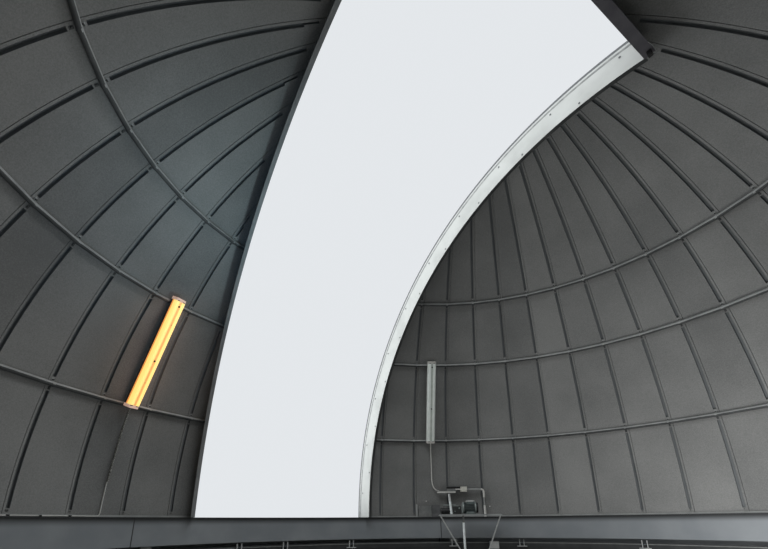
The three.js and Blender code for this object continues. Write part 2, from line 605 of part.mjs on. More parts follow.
// Drive shelf on its two struts and its leg, with a short post on its front edge.
const shelfUnder = SHELF.top - SHELF.thickness;
const intoShelf = shelfUnder + SHELF.thickness / 2;
const shelfSides = [-SHELF.half, SHELF.half];
const wallRoom = solidOf(
  roundZ(
    [
      [WALL_INNER - SEAT, -DOME_CENTRE_HEIGHT],
      [WALL_OUTER, -DOME_CENTRE_HEIGHT],
      [WALL_OUTER, UPSTAND_TOP],
      [WALL_INNER - SEAT, UPSTAND_TOP],
    ],
    -DRIVE_AZIMUTH,
    360 - DRIVE_AZIMUTH,
    ROUND_STEPS,
  ),
);
const struts = [-1, 1].map((side) =>
  rod(
    [SHELF.inner + STRUT.inset, side * (SHELF.half - STRUT.end), intoShelf],
    [WALL_INNER - STRUT.end, STRUT.meet + side * STRUT.apart, STRUT.foot],
    STRUT.radius,
    STRUT.sides,
  ),
);
const legRadius = SHELF.inner + LEG.inset;
const shelf = join(
  block(SHELF.inner, SHELF.outer, ...shelfSides, shelfUnder, SHELF.top),
  block(SHELF.inner, SHELF.inner + SHELF.thickness, ...shelfSides, SHELF.top - SHELF.edge, SHELF.top),
  ...struts,
  block(...STRUT_PLATE.radii, ...STRUT_PLATE.along, ...STRUT_PLATE.z),
  rod([POST.x, POST.along[0], intoShelf], [POST.x, POST.along[1], POST.top], POST.radius, POST.sides),
  rod([legRadius, LEG.along, intoShelf], [legRadius, LEG.along, -DOME_CENTRE_HEIGHT], LEG.radius, LEG.sides),
  block(
    legRadius - LEG.foot / 2,
    legRadius + LEG.foot / 2,
    LEG.along - LEG.foot / 2,
    LEG.along + LEG.foot / 2,
    -DOME_CENTRE_HEIGHT,
    LEG.footHeight - DOME_CENTRE_HEIGHT,
  ),
).subtract(wallRoom);
const driveTurn = radians(DRIVE_AZIMUTH);
piece(building, "drive_shelf", geometryOf(shelf), GREY_STEEL).rotation.z = driveTurn;

// Geared motor: a motor body with its feet and terminal box, and the gearbox beside it.
const onShelf = SHELF.top + SEAT;
function onDrive({ half, along }, z0, z1) {
  return block(DRIVE_MIDDLE - half, DRIVE_MIDDLE + half, ...along, onShelf + z0, onShelf + z1);
}
function driveBarrel({ radius, length, along, sides, axis }) {
  const barrel = new THREE.CylinderGeometry(radius, radius, length, sides);
  return barrel.translate(DRIVE_MIDDLE, along, onShelf + axis);
}
const motor = join(
  driveBarrel(MOTOR),
  onDrive(MOTOR_FEET, 0, MOTOR_FEET.height),
  onDrive(TERMINAL_BOX, ...TERMINAL_BOX.z),
);
piece(building, "drive_motor", geometryOf(motor), MACHINE).rotation.z = driveTurn;
const gearbox = join(onDrive(GEARBOX, 0, GEARBOX.height), driveBarrel(HUB_SHAFT), driveBarrel(GEARBOX_HUB));
piece(building, "drive_gearbox", geometryOf(gearbox), DARK_STEEL).rotation.z = driveTurn;

export default observatory;
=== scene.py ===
# The observatory dome on its round wall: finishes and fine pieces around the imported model, in metres, +Z up.
# +X points to the foot of the slit and +Y is left. The origin is on the ground at the centre of the wall.

import math

import bmesh
import bpy
from mathutils import Color, Matrix, Vector


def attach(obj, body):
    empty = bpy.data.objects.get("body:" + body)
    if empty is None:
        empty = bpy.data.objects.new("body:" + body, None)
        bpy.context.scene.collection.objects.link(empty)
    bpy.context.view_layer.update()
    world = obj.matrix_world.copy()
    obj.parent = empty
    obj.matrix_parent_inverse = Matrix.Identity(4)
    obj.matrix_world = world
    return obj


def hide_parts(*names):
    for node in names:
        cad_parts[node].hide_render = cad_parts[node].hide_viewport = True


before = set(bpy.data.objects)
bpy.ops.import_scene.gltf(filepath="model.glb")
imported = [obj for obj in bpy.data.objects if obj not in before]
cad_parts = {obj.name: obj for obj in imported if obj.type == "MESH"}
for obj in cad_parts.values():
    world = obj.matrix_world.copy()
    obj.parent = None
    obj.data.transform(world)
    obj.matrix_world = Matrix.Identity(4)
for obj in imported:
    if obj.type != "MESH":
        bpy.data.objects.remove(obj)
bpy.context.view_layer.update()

# Camera
# It stands on the floor inside the dome, left of the middle, at the height of an eye.
# It looks up past the right side of the slit, and its frame is raised so that upright lines stay upright.
EYE = Vector((-1.802, 2.205, 1.649))
YAW, PITCH, ROLL = (math.radians(turn) for turn in (-33.24, 17.58, -0.43))
LENS = 19.74
FRAME_WIDTH = 36
FRAME_SHIFT = (0.0007, 0.1487)
NEAREST = 0.05


def link(name, data):
    """Adds an object to the scene."""
    piece = bpy.data.objects.new(name, data)
    bpy.context.scene.collection.objects.link(piece)
    return piece


ahead = Vector((math.cos(YAW) * math.cos(PITCH), math.sin(YAW) * math.cos(PITCH), math.sin(PITCH)))
level = Vector((math.sin(YAW), -math.cos(YAW), 0))
upright = level.cross(ahead)
axes = (
    level * math.cos(ROLL) + upright * math.sin(ROLL),
    upright * math.cos(ROLL) - level * math.sin(ROLL),
    -ahead,
)
camera = link("camera", bpy.data.cameras.new("camera"))
camera.data.lens = LENS
camera.data.sensor_width = FRAME_WIDTH
camera.data.shift_x, camera.data.shift_y = FRAME_SHIFT
camera.data.clip_start = NEAREST
camera.matrix_world = Matrix.Translation(EYE) @ Matrix(axes).transposed().to_4x4()
bpy.context.scene.camera = camera
bpy.context.scene.view_settings.view_transform = "Standard"


# Floor and light
# A pale floor, a pale even surround, and a row of soft boxes just outside the open slit, which shine into the
# dome only and stand in for daylight. Three more inside lift the right side and the panels on the left.
DOME = Vector((0, 0, 1.8))  # centre of the dome's curve
FLOOR_SIZE = 60
FLOOR_GREY = (0.42, 0.42, 0.42, 1)
FLOOR_ROUGHNESS = 0.9
SURROUND = (0.86, 0.89, 0.92, 1)
SURROUND_STRENGTH = 0.9
SLIT_BOXES = 8
SLIT_ARC = 104  # degrees from the horizon to the far end of the slit
SLIT_BOX_RADIUS = 4.42
SLIT_BOX_WIDTH = 2.36
SLIT_LIGHT = (2.95, 2.4)  # radiance of the boxes at the horizon and at the far end
SLIT_TINT = (0.95, 0.98, 1)


def soft_box(name, place, target, size, radiance, tint, spread=180):
    """A one-sided area light at a place, turned to a target, which the camera doesn't see."""
    light = bpy.data.lights.new(name, "AREA")
    light.shape = "RECTANGLE"
    light.size, light.size_y = size
    light.energy = radiance * math.pi * size[0] * size[1]
    light.color = tint
    light.spread = math.radians(spread)
    box = link(name, light)
    box.location = place
    box.rotation_euler = (Vector(place) - Vector(target)).to_track_quat("Z", "X").to_euler()
    box.visible_camera = False
    return box


world = bpy.data.worlds.new("pale_surround")
bpy.context.scene.world = world
world.use_nodes = True
world.node_tree.nodes["Background"].inputs["Color"].default_value = SURROUND
world.node_tree.nodes["Background"].inputs["Strength"].default_value = SURROUND_STRENGTH

box_turn = SLIT_ARC / SLIT_BOXES
box_size = (2 * SLIT_BOX_RADIUS * math.tan(math.radians(box_turn / 2)), SLIT_BOX_WIDTH)
for row in range(SLIT_BOXES):
    angle = math.radians((row + 0.5) * box_turn)
    spot = DOME + SLIT_BOX_RADIUS * Vector((math.cos(angle), 0, math.sin(angle)))
    share = row / (SLIT_BOXES - 1)
    radiance = SLIT_LIGHT[0] * (1 - share) + SLIT_LIGHT[1] * share
    soft_box(f"slit_light_{row + 1}", spot, DOME, box_size, radiance, SLIT_TINT)
soft_box("side_light", (-0.5, -2.5, 1.25), (-0.2, -4.1, 2.3), (1.5, 1.0), 6.4, (1, 1, 1))
soft_box("left_fill", (0.6, -0.9, 1.0), (2.3, 1.5, 5.0), (0.9, 0.9), 1.5, (0.7, 0.93, 1), 40)
soft_box("arch_fill", (0.2, 2.3, 1.3), (2.4, 1.5, 4.6), (0.8, 0.8), 0.6, (0.2, 0.58, 1), 60)

floor_paint = bpy.data.materials.new("floor")
floor_paint.use_nodes = True
floor_shader = floor_paint.node_tree.nodes["Principled BSDF"]
floor_shader.inputs["Base Color"].default_value = FLOOR_GREY
floor_shader.inputs["Roughness"].default_value = FLOOR_ROUGHNESS
bm = bmesh.new()
bmesh.ops.create_grid(bm, x_segments=1, y_segments=1, size=FLOOR_SIZE / 2)
floor_mesh = bpy.data.meshes.new("floor")
bm.to_mesh(floor_mesh)
bm.free()
floor_mesh.materials.append(floor_paint)
link("floor", floor_mesh)


# Lining
# The shell is made of flat-sided curved panels. Each has a thick grey felt lining with an open slot along the
# seam, in tiers between the ring tubes, then a narrow strip and a thin gap on the side away from the slit.
# Heights are from the dome's centre, and rises and turns are in degrees.
RADIUS = 4.2
PANELS = 43
FIRST_SEAM = 20.53
PANEL_TURN = (360 - 2 * FIRST_SEAM) / PANELS
RING_RISES = (15.1, 31.9, 45.1)
FOOT = -0.0797
SLOT_FOOT = -0.015
CROWN_RISE = 82.5
SLOT_TOP = 80
SLOT_CLEAR = 0.95  # rise left closed on either side of a ring tube
ROW = 1.9
SLOT_WIDTH = 0.033
STRIP_WIDTH = 0.021
GAP_WIDTH = 0.0051
SEAM_LINES = (
    -SLOT_WIDTH / 2,
    SLOT_WIDTH / 2,
    SLOT_WIDTH / 2 + STRIP_WIDTH,
    SLOT_WIDTH / 2 + STRIP_WIDTH + GAP_WIDTH,
)
SLOT_DEPTH = 0.028
LINING_DEPTH = 0.031
ARCH_FACE = 1.2283
BEAM_FACE = 0.8503
SLOT_SIDE_END = 1.262
SLOT_REAR_END = 0.886
SECTORS = (  # each sector's first panel, and the one after its last
    ("left_front", -1, 6),
    ("left_side", 6, 13),
    ("left_rear", 13, 19),
    ("rear", 19, 24),
    ("right_rear", 24, 30),
    ("right_side", 30, 37),
    ("right_front", 37, 44),
)
FLAT_SHEET = 3  # degrees between the flats of curved sheet that are still seen as an edge
UP = Vector((0, 0, 1))
RISING = Vector((0, -1, 0))  # an axis that turns +X up
finishes = [None]  # the materials by number; a face with number 0 takes its piece's main material


class Wire:
    """A node's output in a material. Sums and products with numbers or wires add Math nodes."""

    def __init__(self, tree, socket=None):
        self.tree = tree
        self.socket = socket

    def node(self, kind, settings, sockets, output=0):
        """Adds a shader node: its settings are set first, then the values or wires of its sockets."""
        added = self.tree.nodes.new("ShaderNode" + kind)
        for name, value in settings.items():
            setattr(added, name, value)
        for name, value in sockets.items():
            if isinstance(value, Wire):
                self.tree.links.new(value.socket, added.inputs[name])
            else:
                added.inputs[name].default_value = value
        return Wire(self.tree, added.outputs[output])

    def math(self, operation, *values):
        return self.node("Math", {"operation": operation}, dict(enumerate(values)))

    def __add__(self, other):
        return self.math("ADD", self, other)

    def __sub__(self, other):
        return self.math("SUBTRACT", self, other)

    def __rsub__(self, other):
        return self.math("SUBTRACT", other, self)

    def __mul__(self, other):
        return self.math("MULTIPLY", self, other)

    def __truediv__(self, other):
        return self.math("DIVIDE", self, other)

    def __lt__(self, other):
        return self.math("LESS_THAN", self, other)

    __radd__ = __add__
    __rmul__ = __mul__

    def part(self, axis):
        """One of the three coordinates of this wire, X, Y or Z."""
        return self.node("SeparateXYZ", {}, {"Vector": self}, axis)

    def stretched(self, x, y, z):
        """These coordinates scaled along each axis, for grain and runs."""
        return self.node("Mapping", {}, {"Vector": self, "Scale": (x, y, z)})

    def round_turn(self):
        """The turn of these coordinates about the dome's upright axis, from -pi to pi."""
        return self.math("ARCTAN2", self.part("Y"), self.part("X"))

    def noise(self, scale, detail=3, roughness=0.5):
        """Soft random values from 0 to 1 over this wire's coordinates."""
        sockets = {"Vector": self, "Scale": scale, "Detail": detail, "Roughness": roughness}
        return self.node("TexNoise", {}, sockets, "Fac")

    def ramp(self, low, high):
        """0 where this wire is under low, 1 where it is over high, and a smooth rise between them."""
        settings = {"interpolation_type": "SMOOTHSTEP", "clamp": True}
        return self.node("MapRange", settings, {"Value": self, "From Min": low, "From Max": high})

    def tint(self, under, over):
        """A colour that goes from under to over as this wire goes from 0 to 1."""
        return self.node("Mix", {"data_type": "RGBA"}, {0: self, 6: under, 7: over}, 2)

    def bump(self, distance, strength=1.0):
        return self.node("Bump", {}, {"Height": self, "Distance": distance, "Strength": strength}, "Normal")

    def feed(self, shader, name):
        self.tree.links.new(self.socket, shader.inputs[name])


def paint(red, green, blue):
    """A colour given as it looks, 0 to 255, in the linear values that a shader takes."""
    return (*Color((red / 255, green / 255, blue / 255)).from_srgb_to_scene_linear(), 1)


def finish(name, **constants):
    """A new material with those constants on its shader, and the wire of its object coordinates."""
    material = bpy.data.materials.new(name)
    material.use_nodes = True
    finishes.append(material)
    shader = material.node_tree.nodes["Principled BSDF"]
    for socket, value in constants.items():
        shader.inputs[socket.replace("_", " ")].default_value = value
    place = Wire(material.node_tree).node("TexCoord", {}, {}, "Object")
    return material, shader, place


def two_tone(name, low, high, patches=(7, 4), stops=(0.3, 0.7), dullness=(0.5, 0.2, 24), **constants):
    """A finish that drifts between two colours in soft patches, and varies a little in gloss.

    patches is their scale and detail, and stops are where they start and end, if they have edges.
    dullness is the least roughness, how far it rises, and the scale of that.
    """
    material, shader, place = finish(name, **constants)
    drift = place.noise(*patches)
    if stops:
        drift = drift.ramp(*stops)
    drift.tint(paint(*low), paint(*high)).feed(shader, "Base Color")
    least, swing, *grain = dullness
    (least + swing * place.noise(*grain)).feed(shader, "Roughness")
    return material


def felt():
    """Grey needled felt: a fine speckle, faint blotches, and a slightly different tone on each panel."""
    material, shader, place = finish("grey_felt")
    turn = place.round_turn()
    full_turn = turn + (turn < 0) * math.tau
    panel = place.math("FLOOR", (full_turn - math.radians(FIRST_SEAM)) / math.radians(PANEL_TURN))
    tone = place.node("TexWhiteNoise", {"noise_dimensions": "1D"}, {"W": panel}, "Value")
    speckle = place.noise(260, 2, 0.7)
    blotch = place.noise(1.6, 4)
    grain = place.noise(85, 3, 0.7)
    shade = speckle * 0.2 + grain * 0.42 + blotch * 0.26 + tone * 0.12
    shade.ramp(0.3, 0.7).tint(paint(108, 109, 108), paint(149, 149, 147)).feed(shader, "Base Color")
    (0.86 + 0.12 * blotch).feed(shader, "Roughness")
    (speckle + 0.6 * place.noise(70, 3)).bump(0.0015, 0.6).feed(shader, "Normal")
    return material


def round_dome(degrees):
    return Matrix.Rotation(math.radians(degrees), 3, "Z")


def seam_turn(seam):
    return FIRST_SEAM + seam * PANEL_TURN


def face_turn(face):
    return turn_of(face.calc_center_median())


def turn_of(point):
    return math.degrees(math.atan2(point.y, point.x)) % 360


def verts_in(geom):
    return [part for part in geom if isinstance(part, bmesh.types.BMVert)]


def parts_of(faces):
    """Faces with their edges and corners, as a bisection wants them."""
    return list({part for face in faces for part in (face, *face.edges, *face.verts)})


def spun(bm, geom, axis, degrees, steps=1):
    """Spins geometry about an axis through the dome's centre and returns its last copy."""
    turn = math.radians(degrees)
    return bmesh.ops.spin(bm, geom=geom, cent=DOME, axis=axis, angle=turn, steps=steps)["geom_last"]


def past_all_panels(bm, geom):
    """Spins geometry round the dome, flat across each panel, from before the first seam to past the last."""
    bmesh.ops.rotate(bm, verts=bm.verts, cent=DOME, matrix=round_dome(seam_turn(-1)))
    spun(bm, geom, UP, (PANELS + 2) * PANEL_TURN, PANELS + 2)


def rise_levels(stops):
    """The stops with even rows between them, none taller than ROW."""
    levels = [stops[0]]
    for stop in stops[1:]:
        low = levels[-1]
        rows = math.ceil((stop - low) / ROW)
        levels += [low + (stop - low) * row / rows for row in range(1, rows + 1)]
    return levels


def panel_sheet(radius, stops):
    """Sheet flat across each panel: an upright foot, then the curve, with an edge at each of its stops."""
    bm = bmesh.new()
    line = [bm.verts.new(DOME + Vector((radius, 0, height))) for height in (FOOT, SLOT_FOOT, 0)]
    chain = [*line, bm.edges.new(line[:2]), bm.edges.new(line[1:])]
    tip = line[-1]
    levels = rise_levels(stops)
    for low, high in zip(levels, levels[1:]):
        tip = verts_in(spun(bm, [tip], RISING, high - low))[0]
        chain += [tip, tip.link_edges[0]]
    past_all_panels(bm, chain)
    return bm


def outward(verts, distance):
    """Moves points away from the dome's centre, and level where they are on the upright foot."""
    for vert in verts:
        away = vert.co - DOME
        away.z = max(away.z, 0)
        vert.co += away.normalized() * distance


def trim_to_slit(bm):
    """Cuts a sheet along the slit's frame: beside the arches, and behind the cross beam."""
    corner = math.degrees(math.atan2(ARCH_FACE, -BEAM_FACE))
    cuts = (
        (lambda turn: turn < corner, (0, ARCH_FACE, 0), (0, -1, 0)),
        (lambda turn: turn > 360 - corner, (0, -ARCH_FACE, 0), (0, 1, 0)),
        (lambda turn: corner <= turn <= 360 - corner, (-BEAM_FACE, 0, 0), (1, 0, 0)),
    )
    for inside, place, normal in cuts:
        parts = parts_of(face for face in bm.faces if inside(face_turn(face)))
        bmesh.ops.bisect_plane(bm, geom=parts, dist=1e-5, plane_co=place, plane_no=normal, clear_outer=True)


def wear(faces, material):
    """Gives faces a material."""
    number = finishes.index(material)
    for face in faces:
        face.material_index = number


def mesh_piece(name, bm, main, body, flat_over=30):
    """Makes a bmesh into a piece of a body, smooth except over edges sharper than flat_over degrees.

    Faces without a material of their own get the main one.
    """
    wear((face for face in bm.faces if face.material_index == 0), main)
    worn = sorted({face.material_index for face in bm.faces})
    for face in bm.faces:
        face.smooth = True
        face.material_index = worn.index(face.material_index)
    data = bpy.data.meshes.new(name)
    bm.to_mesh(data)
    bm.free()
    data.set_sharp_from_angle(angle=math.radians(flat_over))
    for number in worn:
        data.materials.append(finishes[number])
    piece = link(name, data)
    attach(piece, body)
    return piece


def across_seam(seam):
    """The direction across a seam, away from the slit, level."""
    turn = math.radians(seam_turn(seam))
    away = 1 if seam < PANELS / 2 else -1
    return Vector((-math.sin(turn), math.cos(turn), 0)) * away


def past_seam(point, seam):
    return point.dot(across_seam(seam))


def panel_of(point):
    """The number of the panel that a point on the lining belongs to, or None in a gap between two."""
    low = math.floor((turn_of(point) - FIRST_SEAM) / PANEL_TURN)
    if turn_of(point) > 360 - FIRST_SEAM + 2 * PANEL_TURN:
        low = -1
    for seam, neighbour in ((low, low - 1), (low + 1, low + 1)):
        past = past_seam(point, seam)
        if 0 <= seam <= PANELS and SEAM_LINES[2] < past < SEAM_LINES[3]:
            return None
        if 0 <= seam <= PANELS and 0 < past < SEAM_LINES[2]:
            return neighbour
    return low


def nearest_seam(point):
    return round((turn_of(point) - FIRST_SEAM) / PANEL_TURN)


def in_slot(face):
    """Whether a face of the lining is in a slot, clear of the cut edge beside the slit."""
    centre = face.calc_center_median()
    seam = min(max(nearest_seam(centre), 0), PANELS)
    rise = math.degrees(math.asin((centre - DOME).normalized().z))
    between = all(abs(rise - ring) > SLOT_CLEAR for ring in RING_RISES)
    clear = all(abs(vert.co.y) > SLOT_SIDE_END or vert.co.x < -SLOT_REAR_END for vert in face.verts)
    high = centre.z > DOME.z + SLOT_FOOT and rise < SLOT_TOP
    return abs(past_seam(centre, seam)) < SLOT_WIDTH / 2 and between and clear and high


def ends_slot(face):
    """Whether a face is the felt at an end of a slot, and not its bottom or a side."""
    centre = face.calc_center_median()
    out = centre - DOME
    out.z = max(out.z, 0)
    along = abs(face.normal.dot(across_seam(nearest_seam(centre)))) < 0.5
    return along and out.length < RADIUS + 0.7 * SLOT_DEPTH


def sink(bm, faces, depth):
    """Sinks faces of the lining outwards."""
    made = bmesh.ops.extrude_face_region(bm, geom=faces)["geom"]
    bmesh.ops.delete(bm, geom=[face for face in faces if face.is_valid], context="FACES_ONLY")
    outward(verts_in(made), depth)


ring_stops = [0]
for ring in RING_RISES:
    ring_stops += [ring - SLOT_CLEAR, ring + SLOT_CLEAR]
sheet = panel_sheet(RADIUS, [*ring_stops, SLOT_TOP, CROWN_RISE])
for seam in range(PANELS + 1):
    across = across_seam(seam)
    for line in SEAM_LINES:
        near = (face for face in sheet.faces if abs(face_turn(face) - seam_turn(seam)) < PANEL_TURN)
        bmesh.ops.bisect_plane(sheet, geom=parts_of(near), dist=1e-6, plane_co=across * line, plane_no=across)
trim_to_slit(sheet)

FELT = felt()
# Dark grey painted steel at the bottom of the slots, dusty
DARK_SLOT = two_tone("dark_slot", (102, 106, 109), (120, 123, 124), (9, 4), None, (0.6, 0.2, 30))
for sector, first, last in SECTORS:
    bm = sheet.copy()
    others = [face for face in bm.faces if panel_of(face.calc_center_median()) not in range(first, last)]
    bmesh.ops.delete(bm, geom=others, context="FACES")
    inner = list(bm.faces)
    outward(verts_in(bmesh.ops.extrude_face_region(bm, geom=inner)["geom"]), LINING_DEPTH)
    before = set(bm.faces)
    sink(bm, [face for face in inner if in_slot(face)], SLOT_DEPTH)
    bm.normal_update()
    wear([face for face in bm.faces if face not in before and not ends_slot(face)], DARK_SLOT)
    bmesh.ops.recalc_face_normals(bm, faces=bm.faces)
    lining = mesh_piece(f"lining_{sector}", bm, FELT, "dome", FLAT_SHEET)
    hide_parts(f"shell_{sector}")
sheet.free()


# Outer skin
# White sheet steel over the lining, one curved sheet to each panel. The sheets meet in a standing fold over
# every seam, which keeps rain out of the joint.
SKIN_RADIUS = 4.24
SKIN_DEPTH = 0.008
FOLD_HEIGHT = 0.024
FOLD_ROOT = 0.002
FOLD_WIDTH = 0.012
FOLD_TOP = 73.5
FOLD_CLEAR = 0.4  # rise left between a fold and the slit's frame
FOLD_STEPS = 24


def weathered_white():
    """White gloss paint on sheet steel, gone matt, with faint grey runs down the slope and patches of dirt."""
    material, shader, place = finish("weathered_white")
    runs = place.stretched(3, 3, 0.35).noise(4, 4)
    grime = (runs * 0.7 + place.noise(0.8, 3) * 0.3).ramp(0.45, 0.8)
    grime.tint(paint(226, 228, 226), paint(190, 189, 182)).feed(shader, "Base Color")
    (0.42 + 0.25 * grime).feed(shader, "Roughness")
    place.noise(40, 3).bump(0.0004, 0.3).feed(shader, "Normal")
    return material


def closed_loop(bm, points):
    """A closed outline of edges through points, and its parts."""
    corners = [bm.verts.new(point) for point in points]
    return corners + [bm.edges.new((a, b)) for a, b in zip(corners, corners[1:] + corners[:1])]


def out_from_dome(section):
    """The points of a section of (distance out, distance along), level with the dome's centre."""
    return [DOME + Vector((out, along, 0)) for out, along in section]


def close_holes(bm):
    bmesh.ops.holes_fill(bm, edges=[edge for edge in bm.edges if edge.is_boundary], sides=0)


def clear_rise(turn):
    """How high a fold can run up the dome at a turn before it meets the slit's frame."""
    angle = math.radians(turn)
    rises = [0]
    for edge, reach in ((ARCH_FACE, abs(math.sin(angle))), (BEAM_FACE, max(0, -math.cos(angle)))):
        if SKIN_RADIUS * reach > edge:
            rises.append(math.degrees(math.acos(edge / (SKIN_RADIUS * reach))))
    return max(rises)


def join(bm, part, place=Matrix()):
    """Adds a finished part to a bmesh at its place, and frees it."""
    data = bpy.data.meshes.new("part")
    part.to_mesh(data)
    part.free()
    data.transform(place)
    bm.from_mesh(data)
    bpy.data.meshes.remove(data)


WEATHERED_WHITE = weathered_white()
bm = panel_sheet(SKIN_RADIUS, [0, CROWN_RISE])
trim_to_slit(bm)
outward(verts_in(bmesh.ops.extrude_face_region(bm, geom=list(bm.faces))["geom"]), -SKIN_DEPTH)
bmesh.ops.recalc_face_normals(bm, faces=bm.faces)
mesh_piece("skin", bm, WEATHERED_WHITE, "dome", FLAT_SHEET)

bm = bmesh.new()
half, low, high = FOLD_WIDTH / 2, SKIN_RADIUS - FOLD_ROOT, SKIN_RADIUS + FOLD_HEIGHT
for seam in range(PANELS + 1):
    fold = bmesh.new()
    outline = closed_loop(fold, out_from_dome(((low, -half), (high, -half), (high, half), (low, half))))
    top = min(FOLD_TOP, clear_rise(seam_turn(seam)) - FOLD_CLEAR)
    spun(fold, outline, RISING, top, FOLD_STEPS)
    foot = bmesh.ops.extrude_edge_only(fold, edges=outline[4:])["geom"]
    bmesh.ops.translate(fold, vec=(0, 0, FOOT), verts=verts_in(foot))
    close_holes(fold)
    bmesh.ops.rotate(fold, verts=fold.verts, cent=DOME, matrix=round_dome(seam_turn(seam)))
    bmesh.ops.recalc_face_normals(fold, faces=fold.faces)
    join(bm, fold)
mesh_piece("standing_folds", bm, WEATHERED_WHITE, "dome")


# Ring tubes
# Three painted steel tubes follow the panels round from arch to arch, bent at every seam. Their upper
# faces take a lighter grey as painted light, and their lower faces a dark grey as painted shade.
TUBE_RADIUS = 0.0225
TUBE_SIDES = 16
TUBE_LIT_LIMIT = 0.22  # a face turned up by more than this takes the lighter grey, painted light; the rest painted shade
SEAT = 0.0003  # gap left between pieces that touch
RING_NAMES = ("low", "middle", "high")
HALF_PANEL = math.cos(math.radians(PANEL_TURN / 2))
SOLID_ROW = 8.4  # rise of one flat row of the solid shell, which a tube touches at its middle
TUBE_OFFSET = (TUBE_RADIUS + SEAT) / math.cos(math.radians(SOLID_ROW / 2)) / HALF_PANEL


def on_dome(radius, rise, turn=0):
    """A point at a distance from the centre of the dome's curve."""
    rise, turn = math.radians(rise), math.radians(turn)
    out = math.cos(rise)
    return DOME + radius * Vector((out * math.cos(turn), out * math.sin(turn), math.sin(rise)))


def ends_at_arches(bm):
    """Cuts a ring on the lining off beside both arches."""
    for side in (1, -1):
        middles = ((face, face.calc_center_median()) for face in bm.faces)
        parts = parts_of(face for face, middle in middles if middle.x > 0 and middle.y * side > 0)
        cut = {"plane_co": (0, side * ARCH_FACE, 0), "plane_no": (0, -side, 0)}
        bmesh.ops.bisect_plane(bm, geom=parts, dist=1e-6, clear_outer=True, **cut)
    close_holes(bm)
    bmesh.ops.recalc_face_normals(bm, faces=bm.faces)


# Grey paint on the ring tubes, lighter above as painted light and dark below as painted shade
LIGHT_GREY_AND_TUBE_PAINTED_LIGHT = two_tone("light_grey_and_tube_painted_light", (152, 154, 153), (172, 174, 172))
TUBE_PAINTED_SHADE = two_tone("tube_painted_shade", (58, 60, 61), (74, 76, 76))
for name, rise in zip(RING_NAMES, RING_RISES):
    bm = bmesh.new()
    place = Matrix.Translation(on_dome(RADIUS - TUBE_OFFSET, rise)) @ Matrix.Rotation(math.pi / 2, 4, "X")
    bmesh.ops.create_circle(bm, segments=TUBE_SIDES, radius=TUBE_RADIUS, matrix=place)
    past_all_panels(bm, [*bm.verts, *bm.edges])
    ends_at_arches(bm)
    bm.normal_update()
    for face in bm.faces:
        upwards = -Vector((*face.calc_center_median().xy.normalized(), 0)) * math.sin(math.radians(rise))
        upwards.z = math.cos(math.radians(rise))
        # Faces that turn down take the dark grey as painted shade, the others the lighter grey as painted
        # light
        if face.normal.dot(upwards) < TUBE_LIT_LIMIT:
            wear([face], TUBE_PAINTED_SHADE)
    tube = mesh_piece(f"tube_{name}", bm, LIGHT_GREY_AND_TUBE_PAINTED_LIGHT, "dome")
    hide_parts(f"ring_tube_{name}")


# Slit arches and cross beam
# Two steel arches frame the slit. Each is a curved plate that faces the slit, with a flange along its inner
# edge, a flange behind the shell and a lip on the outside. A beam of the same depth closes the slit behind.
SLIT_HALF = 1.218
PLATE = 0.01
ARCH_INNER = 3.843
ARCH_OUTER = 4.082
ARCH_LIP = 4.162
ARCH_EDGE = SLIT_HALF + 0.084
ARCH_INNER_EDGE = SLIT_HALF + 0.044
SEAL_LINES = (ARCH_OUTER, 4.108, 4.131)  # where the sealant starts and ends, and the seal starts
ARCH_OUTLINE = (
    (ARCH_INNER, SLIT_HALF),
    *((line, SLIT_HALF) for line in SEAL_LINES),
    (ARCH_LIP, SLIT_HALF),
    (ARCH_LIP, SLIT_HALF + PLATE),
    (ARCH_OUTER, SLIT_HALF + PLATE),
    (ARCH_OUTER, ARCH_EDGE),
    (ARCH_OUTER - PLATE, ARCH_EDGE),
    (ARCH_OUTER - PLATE, SLIT_HALF + PLATE),
    (ARCH_INNER + PLATE, SLIT_HALF + PLATE),
    (ARCH_INNER + PLATE, ARCH_INNER_EDGE),
    (ARCH_INNER, ARCH_INNER_EDGE),
)
ARCH_END = -0.85
ARCH_TOP = 107.5
ARCH_STEPS = 72
CHORD_SINK = 0.002  # how far the middle of a flat face may lie inside its curve
BELOW_FOOT = 2.5  # a curved section starts this many degrees under the horizon, and is cut level after that
ARCH_BOLT_ROWS = ((4.043, 4), (3.879, 8.6))  # radius of a row, and the rise of its first bolt
ARCH_BOLTS = 10
ARCH_BOLT_TURN = 10.6
ARCH_BOLT_SIZE = (0.011, 0.004)
ARCH_BOLT_CLEAR = 0.05
BEAM_BOTTOM = 3.738
BEAM_TOP = 4.165
BEAM_FLANGE = 0.09


def bisected(bm, place, normal):
    """Cuts everything on the normal's side of a plane away and closes the cut."""
    parts = [*bm.verts, *bm.edges, *bm.faces]
    bmesh.ops.bisect_plane(bm, geom=parts, dist=1e-6, plane_co=place, plane_no=normal, clear_outer=True)
    close_holes(bm)


def over_dome(bm, section, side, top, steps):
    """Sweeps a section of (radius, distance from the middle) up over the dome on one side of the slit."""
    outline = closed_loop(bm, out_from_dome((radius, side * along) for radius, along in section))
    lowered = Matrix.Rotation(math.radians(BELOW_FOOT), 3, "Y")
    bmesh.ops.rotate(bm, verts=bm.verts, cent=DOME, matrix=lowered)
    spun(bm, outline, RISING, top + BELOW_FOOT, steps)


def dome_place(turn=0):
    """The dome's centre, with X out towards a turn, Y level and Z up."""
    return round_dome(turn).to_4x4() @ Matrix.Translation(DOME)


def plate_at(bm, place, x, y, z, material=None):
    """A box over a span along each axis of a place."""
    low, high = (Vector(corner) for corner in zip(*(sorted(span) for span in (x, y, z))))
    box = Matrix.Translation((low + high) / 2) @ Matrix.Diagonal((*(high - low), 1))
    verts = bmesh.ops.create_cube(bm, size=1, matrix=place @ box)["verts"]
    wear({face for vert in verts for face in vert.link_faces}, material)


